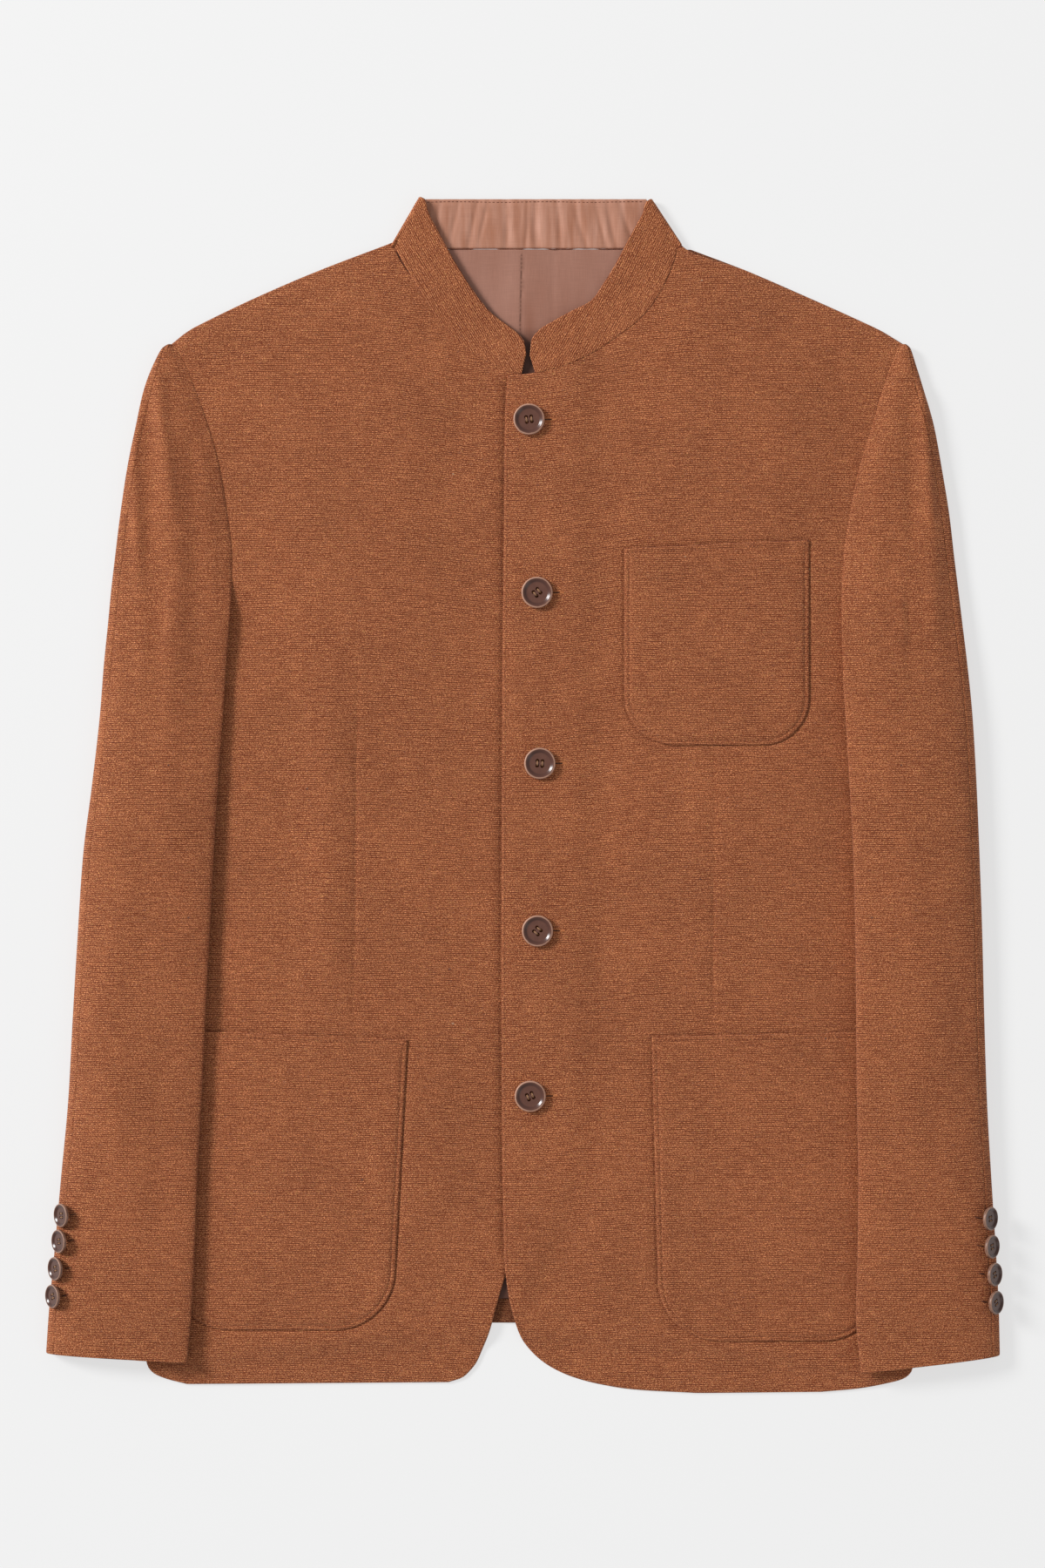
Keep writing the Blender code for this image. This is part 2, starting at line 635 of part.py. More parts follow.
def collar_fold(pair):
    """The turn under the side of the collar, down to its back half."""
    seam, edge = pair
    along = (edge - seam).normalized()
    out = Vector((-along.y, along.x, 0.0)).normalized()
    if out.x * seam.x < 0:
        out = -out
    turned = []
    for k in range(COLLAR_FOLD_STEPS + 1):
        angle = math.pi * k / COLLAR_FOLD_STEPS
        points = []
        for point in (seam, edge):
            radius = (point.z - COLLAR_LOW) / 2
            middle = Vector((point.x, point.y, COLLAR_LOW + radius)) - out * (radius + COLLAR_WALL / 2)
            points.append(middle + out * radius * math.sin(angle) + Vector((0, 0, radius * math.cos(angle))))
        points[0].y = max(points[0].y, BACK_NECK_Y + GAP)
        turned.append(tuple(points))
    return turned


def make_collar(columns=3):
    rows = [[a.lerp(b, k / columns) for a, b in collar_pairs()] for k in range(columns + 1)]
    sheet("collar", rows, COLLAR_WALL, "cloth", 0.0)


def make_collar_lining(steps=48):
    """The lining inside the back of the collar, with its upright wrinkles."""
    left_low, right_low, left_high, right_high = -76.0, 92.0, -62.6, 78.6
    rows = []
    for level in (0.0, 0.3, 0.65, 1.0):
        row = []
        y = between(BACK_NECK_Y + GAP + 0.6, 379.4, level)
        for k in range(steps + 1):
            share = k / steps
            x = between(between(left_low, left_high, level), between(right_low, right_high, level), share)
            phase = share * NECK_WRINKLES * 2 * math.pi + 0.5 * math.sin(7 * share) + 0.4 * level
            lift = NECK_WRINKLE_HEIGHT * (1 + math.sin(phase)) / 2
            row.append((x, y, ON_BACK + LINING_WALL + lift))
        rows.append(row)
    sheet("collar_lining", rows, LINING_WALL, "collar_lining")


def button_mesh(name, radius, thick, steps):
    """A turned four-hole button: a raised round rim and a sunk dish."""
    profile = [
        (0.0, 0.62),
        (0.60, 0.62),
        (0.74, 0.97),
        (0.86, 1.0),
        (1.0, 0.6),
        (0.82, 0.0),
        (0.0, 0.0),
    ]
    outline = bpy.data.meshes.new(name + "_profile")
    points = [(x * radius * MM, 0.0, z * thick * MM) for x, z in profile]
    outline.from_pydata(points, [(k, k + 1) for k in range(len(points) - 1)], [])
    turned = bpy.data.objects.new(name + "_turned", outline)
    cutters.objects.link(turned)
    screw = turned.modifiers.new("turn", "SCREW")
    screw.steps = steps
    screw.render_steps = steps
    screw.use_merge_vertices = True
    screw.merge_threshold = 0.00001
    for k in range(4):
        angle = math.pi / 4 + k * math.pi / 2
        reach = HOLE_SPACING / 2 * math.sqrt(2) * radius / FRONT_BUTTON_RADIUS
        bpy.ops.mesh.primitive_cylinder_add(
            vertices=6,
            radius=HOLE_RADIUS * radius / FRONT_BUTTON_RADIUS * MM,
            depth=thick * 3 * MM,
            location=(reach * math.cos(angle) * MM, reach * math.sin(angle) * MM, 0.0),
        )
        cutter = bpy.context.object
        cutter.name = f"{name}_hole_{k + 1}"
        for home in list(cutter.users_collection):
            home.objects.unlink(cutter)
        cutters.objects.link(cutter)
        cutter.display_type = "WIRE"
        cutter.hide_render = True
        hole = turned.modifiers.new("hole", "BOOLEAN")
        hole.operation = "DIFFERENCE"
        hole.object = cutter
    graph = bpy.context.evaluated_depsgraph_get()
    mesh = bpy.data.meshes.new_from_object(turned.evaluated_get(graph))
    mesh.name = name
    mesh.materials.clear()
    mesh.materials.append(material("button"))
    mesh.shade_smooth()
    mesh.set_sharp_from_angle(angle=math.radians(40))
    for cutter in [modifier.object for modifier in turned.modifiers if modifier.type == "BOOLEAN"]:
        bpy.data.objects.remove(cutter)
    bpy.data.objects.remove(turned)
    return mesh


def place_button(name, mesh, base, normal, turn):
    piece = finish(name, mesh, "button")
    tilt = Vector((0, 0, 1)).rotation_difference(normal).to_matrix().to_4x4()
    piece.matrix_world = Matrix.Translation(base * MM) @ tilt @ Matrix.Rotation(math.radians(turn), 4, "Z")
    return piece


def cut_at(cuts, y):
    """The section of a sleeve at a level, between the table's own."""
    for a, b in zip(cuts, cuts[1:]):
        if b.outer_y <= y:
            share = (y - a.outer_y) / (b.outer_y - a.outer_y)
            return Cut(*(between(p, q, share) for p, q in zip(a, b)))
    return cuts[-1]


def make_buttons():
    front = button_mesh("front_button", FRONT_BUTTON_RADIUS, FRONT_BUTTON_THICK, 16)
    for number, spot in enumerate(FRONT_BUTTONS, 1):
        top = max(front_top(spot.x + dx, spot.y, True) for dx in (-9, 0, 9))
        base = Vector((spot.x, spot.y, top + GAP))
        place_button(f"button_front_{number}", front, base, Vector((0, 0, 1)), spot.turn)
    small = button_mesh("cuff_button", CUFF_BUTTON_RADIUS, CUFF_BUTTON_THICK, 12)
    for side, cuts in (("right", SLEEVE_RIGHT), ("left", SLEEVE_LEFT)):
        outward = -1 if side == "right" else 1
        tilt = math.radians(CUFF_BUTTON_TILT)
        normal = Vector((outward * math.sin(tilt), 0.0, math.cos(tilt)))
        for number, y in enumerate(CUFF_BUTTON_LEVELS[side], 1):
            cut = cut_at(cuts, y)
            ring = [Vector(sleeve_point(side, cut, -1 + 0.02 * k, True)) for k in range(1, 20)]
            reach = max(point.dot(normal) for point in ring)
            contact = max(ring, key=lambda point: point.dot(normal))
            base = contact + normal * (reach - contact.dot(normal) + GAP + 0.15)
            base.y = y
            base -= Vector((outward * math.cos(tilt), 0.0, -math.sin(tilt))) * CUFF_BUTTON_UP
            place_button(f"button_cuff_{side}_{number}", small, base, normal, 90 + 6 * number)


for old in list(bpy.data.objects):
    bpy.data.objects.remove(old)
coat = bpy.data.collections.new("coat")
cutters = bpy.data.collections.new("cutters")
bpy.context.scene.collection.children.link(coat)
bpy.context.scene.collection.children.link(cutters)
cutters.hide_render = True

make_back()
make_back_lining()
make_front("front_right", FRONT_RIGHT, False, RIGHT_COLUMNS)
make_front("front_left", FRONT_LEFT, True, LEFT_COLUMNS)
make_sleeve("right", SLEEVE_RIGHT)
make_sleeve("left", SLEEVE_LEFT)
make_collar()
make_collar_lining()
for each in POCKETS:
    make_pocket(each)
make_buttons()
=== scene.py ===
"""Looks of the band-collared jacket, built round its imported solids. Sizes are in millimetres."""

import math
from collections import namedtuple

import bpy
import numpy as np
from mathutils import Matrix, Vector
from mathutils.bvhtree import BVHTree
from mathutils.geometry import delaunay_2d_cdt


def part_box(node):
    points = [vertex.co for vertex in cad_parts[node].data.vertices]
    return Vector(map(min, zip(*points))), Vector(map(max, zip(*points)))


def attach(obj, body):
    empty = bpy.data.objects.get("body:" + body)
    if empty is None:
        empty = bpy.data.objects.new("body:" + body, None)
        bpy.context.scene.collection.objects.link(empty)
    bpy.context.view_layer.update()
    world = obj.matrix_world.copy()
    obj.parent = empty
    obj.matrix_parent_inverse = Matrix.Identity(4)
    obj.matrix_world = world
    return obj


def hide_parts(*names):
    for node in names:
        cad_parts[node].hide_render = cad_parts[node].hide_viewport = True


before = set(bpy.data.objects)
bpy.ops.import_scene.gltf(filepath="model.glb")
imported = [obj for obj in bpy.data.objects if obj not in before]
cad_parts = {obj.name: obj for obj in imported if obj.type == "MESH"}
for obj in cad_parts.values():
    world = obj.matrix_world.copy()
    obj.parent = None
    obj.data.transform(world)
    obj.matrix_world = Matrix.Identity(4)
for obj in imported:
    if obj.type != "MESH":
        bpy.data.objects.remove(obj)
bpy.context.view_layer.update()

MM = 0.001

# Sizes repeated from the solids
GAP = 0.3
BACK_WALL = 1.6
LINING_WALL = 1.0
FRONT_WALL = 2.0
SLEEVE_WALL = 2.0
COLLAR_WALL = 1.7
POCKET_WALL = 1.2
POCKET_GAP = 0.45
ON_BACK = BACK_WALL + GAP
ON_LINING = ON_BACK + LINING_WALL + GAP
OVERLAP_LIFT = FRONT_WALL + GAP
FLOOR_CLEARANCE = 0.05
BACK_HEM_MIDDLE_X = -12.0
BACK_HEM_MIDDLE_Y = -336.4
BACK_HEM_DROP = 27.0
BACK_HEM_HALF = 240.0
BACK_NECK_Y = 347.5
HEM_RAMP = 15.0
LINING_HEM_INSET = 15.6
SWELL = 3.2
SIDE_ROLL = 14.0
SHOULDER_ROLL = 9.0
OVERLAP_RAMP = 20.0
OVERLAP_MARGIN = 8.0
HIND_SEAM_INSET = 5.6
SLEEVE_EDGE = 5.0
SLEEVE_RAMP = 12.0
EDGE_REACH = 24.0
UNDER_SEAM_INSET = 9.0
POCKET_CLEARANCE = 1.8
SLEEVE_GAP = 0.55
BODY_MARGIN = 1.5
UPPER_ROUND = 2.4
LOWER_ROUND = 7.0
THROAT_Y = 267.0
ARMPIT_Y = 60.8

# Fronts from hem to shoulder: left x and y, right x and y. At the armholes they run a little further
# under the sleeves than their solids.
FRONT_RIGHT = np.array([
    (-214.2, -375.6, -47.5, -374.4), (-228.1, -371.9, -38.6, -371.4), (-235.8, -368.1, -33.6, -366.9),
    (-239.4, -363.1, -29.7, -361.9), (-240.6, -355.8, -26.4, -354.7), (-240.8, -343.1, -21.4, -341.9),
    (-241.4, -326.4, -16.9, -325.8), (-241.5, -307.5, -11.4, -307.5), (-240.5, -275, 3, -275),
    (-238.5, -240, 15, -240), (-236.5, -195, 21.5, -195), (-234, -140, 23.5, -140), (-231, -80, 23.5, -80),
    (-230.5, -20, 23.5, -20), (-232.5, 25, 23.5, 40), (-235.8, 60.8, 23.5, 90), (-219.7, 68.1, 23.4, 115),
    (-204.7, 81.9, 23.3, 140), (-193.4, 106.9, 23.2, 165), (-190.2, 130.3, 23.1, 185),
    (-187.2, 152.5, 23, 205), (-189.7, 179.2, 22.6, 228), (-193.1, 200.8, 22.3, 248),
    (-197.5, 221.4, 21.9, 265.8), (-200.6, 230.9, -1.4, 268), (-202.6, 237.5, -6.9, 268.9),
    (-204.8, 243.9, -12.5, 271.8), (-207.2, 250, -21.9, 275.8), (-209.7, 256.9, -36.9, 285.8),
    (-213, 265, -51.9, 300.8), (-216.5, 273.5, -66.9, 324.2), (-220.5, 281, -80.3, 344.7),
    (-224.2, 286.9, -82.4, 352),
])
FRONT_LEFT = np.array([
    (110, -381.4, 190, -380.6), (70, -379.1, 214, -378.4), (50, -376, 231, -375.2), (33, -371.6, 244, -371),
    (19, -365.5, 248.2, -365.5), (8, -357.5, 248.6, -357.5), (-0.8, -346.4, 248.8, -346),
    (-6, -332, 248.5, -332), (-9.5, -317, 248, -316), (-11.8, -295, 247, -295), (-12.3, -270, 246, -270),
    (-12.8, -245, 245, -245), (-13.1, -220.8, 244, -220), (-13.6, -137.5, 241, -137),
    (-13.6, -80, 239.5, -80), (-13.4, -20, 241, -20), (-13.1, 40, 246, 25), (-12.9, 85, 249.2, 60.8),
    (-12.6, 110, 234.2, 68.1), (-12.3, 135, 220.8, 81.9), (-12.1, 160, 210.4, 106.9),
    (-11.9, 180, 207.9, 130.3), (-11.8, 200, 206.6, 152.5), (-11.6, 225, 209.7, 179.2),
    (-11.2, 247, 213.6, 200.8), (-9.7, 266.4, 219.7, 221.4), (7.5, 268.6, 223.6, 234),
    (18.6, 271.1, 226.4, 243), (29.7, 274.7, 228.6, 250.8), (44.7, 281.9, 230.3, 256.9),
    (59.7, 291.9, 233, 265), (74.7, 303.6, 235.3, 272.5), (86.4, 318.6, 238, 277.5),
    (96.9, 341.9, 241, 283.5), (99, 353, 242.5, 286.9),
])

# Sleeves from shoulder to cuff: outer x and y, inner x and y, crown height, closed over the body
SLEEVE_RIGHT = np.array([
    (-226.4, 286.6, -223.6, 286.9, 7.2, 0), (-229.5, 284.5, -222.6, 284.5, 8.2, 0),
    (-236.1, 272.2, -215.7, 272.2, 10, 0), (-241.7, 256.7, -209.5, 256.7, 12, 0),
    (-246.5, 235, -201.7, 235, 13.6, 0), (-252, 208, -194.3, 208, 15, 0), (-256.6, 177, -189.4, 177, 16, 0),
    (-259.6, 152.5, -186.5, 152.5, 16.5, 0), (-262.2, 130, -187, 130, 17, 1),
    (-264.4, 106.9, -188, 106.9, 17.4, 1), (-266.9, 81.9, -189.4, 81.9, 17.7, 1),
    (-269.2, 52, -190.6, 52, 18, 1), (-274.5, 5, -193.8, 5, 18, 1), (-280, -38.3, -196.3, -38.3, 18, 1),
    (-283.5, -90, -199, -90, 18, 1), (-286.5, -140, -201.5, -140, 18, 1),
    (-289.4, -193.3, -203.9, -193.3, 18, 1), (-294.2, -245, -206.8, -245, 17.5, 1),
    (-298.4, -292, -208.6, -292, 17, 1), (-301.6, -326, -210.4, -328, 16.5, 1),
    (-303.6, -355, -213.4, -360.3, 16, 1),
])
SLEEVE_LEFT = np.array([
    (244.2, 286.6, 241.8, 286.9, 7.2, 0), (246.4, 284.5, 240.4, 284.5, 8.2, 0),
    (250.6, 272.2, 235.4, 272.2, 10, 0), (255.4, 256.7, 230.1, 256.7, 12, 0),
    (261.6, 235, 223.8, 235, 13.6, 0), (266.6, 208, 215.5, 208, 15, 0), (271.6, 177, 209.2, 177, 16, 0),
    (274.4, 152.5, 205.6, 152.5, 16.5, 0), (277.2, 130, 204.4, 130, 17, 1),
    (280, 106.9, 203.9, 106.9, 17.4, 1), (283, 81.9, 203.9, 81.9, 17.7, 1), (286, 52, 204.8, 52, 18, 1),
    (288.8, 5, 207.4, 5, 18, 1), (290.6, -38.3, 209.7, -38.3, 18, 1), (292.4, -90, 211, -90, 18, 1),
    (293.6, -140, 211.4, -140, 18, 1), (295.3, -193.3, 211.9, -193.3, 18, 1),
    (298.2, -245, 212.8, -245, 17.5, 1), (301.2, -292, 212.3, -292, 17, 1),
    (302.9, -326, 211.4, -330, 16.5, 1), (303.6, -356.5, 214.6, -367, 16, 1),
])

# Front halves of the collar from tip to fold: neck seam, then free edge
COLLAR_RIGHT = np.array([
    (-0.8, 268, 2.1, 280.3), (-6.9, 268.9, 0.8, 288), (-12.5, 271.8, -2.8, 293), (-21.9, 275.8, -8.9, 298),
    (-36.9, 285.8, -19.9, 306.4), (-51.9, 300.8, -29.7, 318.1), (-66.9, 324.2, -43.6, 339.7),
    (-80.3, 344.7, -56.1, 362.5), (-84.4, 349.6, -65.9, 381),
])
COLLAR_LEFT = np.array([
    (7.5, 268.6, 4.4, 279.2), (11.9, 269.4, 5.2, 288.3), (18.6, 271.1, 9.2, 294.7),
    (29.7, 274.7, 19.2, 301.4), (44.7, 281.9, 30.3, 307.5), (59.7, 291.9, 43.6, 314.7),
    (74.7, 303.6, 51.9, 326.4), (86.4, 318.6, 57.5, 335.3), (96.9, 341.9, 68.1, 355.3),
    (101.2, 350.7, 81.9, 379.7),
])

Pocket = namedtuple("Pocket", "name left right bottom top_left top_right round_left round_right")
POCKETS = [
    Pocket("pocket_chest", 64.6, 182.0, 31.6, 156.7, 162.3, 32.0, 30.0),
    Pocket("pocket_hip_right", -227.0, -73.5, -340.5, -149.2, -155.6, 38.0, 36.0),
    Pocket("pocket_hip_left", 82.0, 229.0, -347.6, -153.6, -150.8, 38.0, 38.0),
]
POCKET_TAPER = {"pocket_hip_right": (2.0, -10.0), "pocket_hip_left": (5.0, 0.0)}

Spot = namedtuple("Spot", "x y turn")
FRONT_BUTTONS = [
    Spot(3.8, 238.6, 8),
    Spot(8.9, 128.6, 40),
    Spot(10.7, 20.0, -4),
    Spot(9.2, -86.4, 52),
    Spot(4.6, -191.4, 24),
]
CUFF_BUTTON_LEVELS = {"right": (-266.5, -283.0, -300.5, -318.0), "left": (-268.6, -286.4, -304.2, -322.0)}
CUFF_BUTTON_TILT = 50.0
CUFF_BUTTON_UP = 5.0

# Creases: from x y, to x y, height and half width; a negative height is a trough
Crease = namedtuple("Crease", "x0 y0 x1 y1 height width")
BODY_CREASES = [Crease(*row) for row in (
    (-104.7, 95, -105.8, 10, -0.35, 1.3), (-105.8, 55, -106.9, -119, -0.7, 1.5),
    (-106.9, -80, -108.1, -158, -0.35, 1.3), (-122, 100, -124, -170, 3, 16), (-94, 90, -95, -155, 0.6, 10),
    (121.9, 40, 121.2, -70, -0.3, 1.2), (121.4, -40, 120.8, -158, -0.6, 1.3), (133, 30, 133, -155, 0.8, 10),
    (110, 30, 109, -155, 0.7, 9), (-24, 262, -60, 180, -0.7, 15), (-30, 240, -20, 120, 0.5, 13),
    (-196, 176, -150, 60, -0.9, 16), (-178, 150, -158, 20, 0.7, 13), (-206, 40, -200, -120, -1.2, 16),
    (-214, -60, -205, -150, -1.1, 14), (214, 150, 190, 20, -0.9, 15), (200, 30, 196, -130, -0.7, 15),
    (52, 250, 40, 90, 0.5, 18), (74, 290, 88, 200, -0.4, 14), (-60, -160, -70, -340, 0.7, 20),
    (-50, 80, -52, -120, 0.4, 16), (-150, -20, -168, -140, 0.6, 15), (40, -180, 60, -350, 0.8, 22),
    (18, -260, 40, -370, -0.6, 14), (60, 20, 56, -120, -0.5, 18),
)]
SLEEVE_CREASES = [Crease(*row) for row in (
    (-233, 280, -229, 224, 1.9, 4.5), (-230, 245, -221, 165, 2.3, 5), (-221.5, 185, -221, 60, 1.5, 7),
    (-221, 80, -228, -60, 1, 11), (-246, 250, -248, 200, 1.4, 3.2), (-248, 222, -243, 120, 1.5, 3.4),
    (-244, 140, -240, 60, 0.8, 5), (-239, 268, -236, 130, -1.5, 5), (-212, 244, -205, 110, -1.3, 6),
    (-206, 150, -204, 30, -0.9, 8), (253.5, 268, 257, 216, 2, 3.6), (256, 234, 260, 160, 2.2, 4.2),
    (259, 180, 262, 90, 1.3, 7), (245, 266, 248, 140, -1.4, 5.5), (228, 235, 220, 110, 0.9, 7),
    (268, 190, 273, 70, -0.9, 6), (-268, -150, -240, -290, 1.1, 12), (-250, -40, -270, -170, 0.8, 11),
    (-225, -120, -232, -300, -0.8, 10), (262, -110, 236, -270, 1.1, 12), (240, 0, 252, -120, 0.9, 11),
    (276, -60, 282, -220, -0.7, 9),
)]

# The centre pleat of the back lining: where it is at one level, and its lean
PLEAT_X = -1.9
PLEAT_Y = 300
PLEAT_LEAN = 0.02

# Darts, from top to bottom
DARTS = {
    "front_right": ((-104.7, 94.0), (-105.8, 20.0), (-106.0, -60.0), (-108.1, -153.0)),
    "front_left": ((121.9, 34.0), (121.4, -60.0), (120.8, -154.0)),
}

# The back: hem at each side, levels of its side edges, and its armholes up to the sleeves' caps
BACK_HEM_RIGHT = -361.0
BACK_HEM_LEFT = -366.0
BACK_SIDE_LEVELS = (-300, -220, -120, -20, 25, ARMPIT_Y)
BACK_ARMHOLE_RIGHT = [(-219.7, 68.1), (-204.7, 81.9), (-191.4, 106.9), (-186.9, 130.0)]
BACK_ARMHOLE_LEFT = [(234.2, 68.1), (220.8, 81.9), (208.1, 106.9), (204.6, 130.0)]

# How the sleeves look, over the shape of their solids
UNDER_TUCK = 1.4
ARMHOLE_LAP = 1.6
CAP_LOOK = 0.62
CAP_ROUND = 1.7
LIFT_FROM = 141.0

# How the sewn edges look
POCKET_SINK = 0.55
FRONT_PRESS = 0.6
EDGE_DIP = 1.1
POCKET_DIP = 1.0
ARMHOLE_DIP = 0.45
EDGE_ROUND = 1.1
STITCH_INSET = 2.6
PICK_INSET = 1.9
POCKET_STITCH_INSET = 2.8
HOLE_START = 7.5
HOLE_END = 15.0
HOLE_PITCH = 0.52
COLLAR_STITCH_Y = 377.6
NECK_SEAM_Y = 347.75
NECK_SEAM_Z = 3.05
STITCH_DEPTH = 0.28

# Finer rows of the mesh: in from the edges, and on both sides of a dart, a pocket's edge and the front edge
EDGE_RINGS = (0.35, 0.8, 1.5, 2.6, 3.8)
BACK_RINGS = (0.3, 0.8, 2.0)
POCKET_RINGS = (0.3, 0.7, 1.3, 2.0, 2.5, 2.9, 3.4, 4.2, 5.6)
DART_ROWS = (-4.5, -2.6, -1.5, -0.7, 0, 0.7, 1.5, 2.6, 4.5)
POCKET_ROWS = (-2.2, -1.1, -0.4, 0.4, 1.1, 2.2)
EDGE_ROWS_BESIDE = (-2.4, -1.5, -0.9, -0.3, 0.3, 1.0)
POCKET_HEM = 22
POCKET_HEM_ROWS = (-1.6, -0.8, 0, 0.8, 1.6)
PLEAT_ROWS = (-0.6, -0.2, 0.1, 0.4, 0.8, 1.3)

# Cells that clear the plain grid near finer rows, and points that are measured at a time
CELL = 2.0
BATCH = 1500

# Where the pieces' cloth lies in the weave, so that their ribs don't run on from one to the next
LEFT_WEAVE = 500
BACK_WEAVE = -1000
UNDER_WEAVE = 300
COLLAR_WEAVE = 700
POCKET_WEAVE = {"pocket_chest": 60.0, "pocket_hip_right": 61.3, "pocket_hip_left": 59.1}

# Buttons: radius, thickness and steps round; and their four holes, as shares of the radius
FRONT_BUTTON = (10.0, 3.4, 64)
SMALL_BUTTON = (7.5, 2.8, 48)
THREAD_HOLE_REACH = 0.16
THREAD_HOLE_RADIUS = 0.12

# Floor, light and camera, in metres and watts
FLOOR = 0.25
FLOOR_GLOW = 0.63
FLOOR_HALF = 6.0
FLOOR_Z = -0.0002
SKY = 0.44
LAMPS = (
    ("key", (-5.0, 2.56, 3.5), 2.0, 430.0),
    ("fill", (2.6, -1.6, 2.6), 2.2, 8.0),
)
LENS = 85.0
SENSOR = 36.0
AIM_X = -0.0003
AIM_Y = 0.0069


def ease(share):
    """A smooth step from 0 to 1."""
    share = np.clip(share, 0.0, 1.0)
    return share * share * (3 - 2 * share)


def between(a, b, share):
    return a + (b - a) * share


def bell(distance, width):
    """A soft bump, 1 in its middle."""
    return np.exp(-((distance / width) ** 2))


def smooth(at, places, values):
    """A curve through a column's values that never overshoots them."""
    places = np.asarray(places, float)
    values = np.asarray(values, float)
    steps = np.diff(places)
    slopes = np.diff(values) / steps
    tangents = np.empty_like(values)
    tangents[0], tangents[-1] = slopes[0], slopes[-1]
    low, high = slopes[:-1], slopes[1:]
    agree = low * high > 0
    w1 = 2 * steps[1:] + steps[:-1]
    w2 = steps[1:] + 2 * steps[:-1]
    harmonic = (w1 + w2) / (w1 / np.where(agree, low, 1) + w2 / np.where(agree, high, 1))
    tangents[1:-1] = np.where(agree, harmonic, 0)
    k = np.clip(np.searchsorted(places, at, "right") - 1, 0, len(steps) - 1)
    s = (at - places[k]) / steps[k]
    h = steps[k]
    return (
        values[k] * (1 + 2 * s) * (1 - s) ** 2
        + tangents[k] * h * s * (1 - s) ** 2
        + values[k + 1] * s * s * (3 - 2 * s)
        + tangents[k + 1] * h * s * s * (s - 1)
    )


def lengths_along(points):
    """Length of a run from its start to each of its points."""
    return np.concatenate([[0], np.cumsum(np.hypot(*np.diff(points, axis=0).T))])


def smooth_run(points, step):
    """Points of a smooth run through a table's corners, evenly spaced, with both ends kept."""
    points = np.asarray(points, float)
    lengths = lengths_along(points)
    dense = np.linspace(0, lengths[-1], max(int(lengths[-1] / 0.5), 8))
    fine = np.stack([smooth(dense, lengths, points[:, k]) for k in (0, 1)], 1)
    along = lengths_along(fine)
    even = np.linspace(0, along[-1], max(int(round(along[-1] / step)), 1) + 1)
    return np.stack([np.interp(even, along, fine[:, k]) for k in (0, 1)], 1)


def closed_outline(*runs, step=2.5):
    """One closed outline from runs that meet at corners."""
    parts = [smooth_run(run, step)[:-1] for run in runs]
    return np.concatenate(parts)


def to_outline(points, outline):
    """Distance from each point to a closed outline."""
    runs = np.roll(outline, -1, axis=0) - outline
    squares = (runs**2).sum(1)
    found = np.empty(len(points))
    for first in range(0, len(points), BATCH):
        some = points[first:first + BATCH, None, :] - outline[None]
        share = np.clip((some * runs[None]).sum(2) / squares[None], 0, 1)
        away = some - share[..., None] * runs[None]
        found[first:first + BATCH] = np.sqrt((away**2).sum(2).min(1))
    return found


def inside(points, outline):
    """Whether each point lies in a closed outline."""
    x, y = points.T
    result = np.zeros(len(points), bool)
    for (x0, y0), (x1, y1) in zip(outline, np.roll(outline, -1, axis=0)):
        if y0 == y1:
            continue
        crosses = (y0 > y) != (y1 > y)
        result ^= crosses & (x < (x1 - x0) * (y - y0) / (y1 - y0) + x0)
    return result


# Where the body's edges and the shoulder run
SIDE_RIGHT = (FRONT_RIGHT[:, 1], FRONT_RIGHT[:, 0])
SIDE_LEFT = (FRONT_LEFT[:, 3], FRONT_LEFT[:, 2])
EDGE_ROWS = FRONT_RIGHT[FRONT_RIGHT[:, 3] < THROAT_Y]
SHOULDER_LINE = np.array([
    (-224.2, 286.9), (-213.1, 295.8), (-202.5, 301.4), (-167.5, 318.1), (-128.6, 334.7), (-84.2, 349.2),
    (100.8, 350.3), (140.8, 334.7), (179.2, 318.1), (216.4, 301.4), (228.1, 295.8), (242.5, 286.9),
])


def back_hem(x):
    return BACK_HEM_MIDDLE_Y - BACK_HEM_DROP * ((x - BACK_HEM_MIDDLE_X) / BACK_HEM_HALF) ** 2


def side_distance(x, y):
    return np.minimum(x - np.interp(y, *SIDE_RIGHT), np.interp(y, *SIDE_LEFT) - x)


def front_rest(x, y):
    """Height of the underside of a front, on the back and its lining, as in the solids."""
    over_back = ease((y - back_hem(x) + HEM_RAMP + 3) / HEM_RAMP)
    edge = side_distance(x, y)
    rim = (ON_LINING - ON_BACK) * (1 - ease(edge / SIDE_ROLL)) * ease((ARMPIT_Y + 20 - y) / 20)
    below = np.interp(x, *SHOULDER_LINE.T) - y
    rim = np.maximum(rim, (ON_LINING - ON_BACK) * (1 - ease(below / SHOULDER_ROLL)))
    swell = SWELL * ease((edge - 4) / 60) * ease((np.abs(x - 5) - 28) / 60)
    swell = swell * ease((y - back_hem(x)) / 110) * ease(below / 45)
    swell = swell * between(0.55, 1.0, bell(y - 150, 130))
    return FLOOR_CLEARANCE + (ON_LINING - rim) * over_back + swell


def overlap(x, y):
    past = x - np.interp(y, EDGE_ROWS[:, 3], EDGE_ROWS[:, 2]) - OVERLAP_MARGIN
    return OVERLAP_LIFT * (1 - ease(past / OVERLAP_RAMP))


def creased(x, y, creases):
    """Height that creases add, each fading across it and towards its ends."""
    total = np.zeros_like(x)
    for c in creases:
        run = np.array((c.x1 - c.x0, c.y1 - c.y0))
        along = np.clip(((x - c.x0) * run[0] + (y - c.y0) * run[1]) / (run @ run), 0, 1)
        away = np.hypot(x - c.x0 - along * run[0], y - c.y0 - along * run[1])
        ends = ease(along / 0.25) * ease((1 - along) / 0.3)
        total += c.height * ends * bell(away, c.width)
    return total


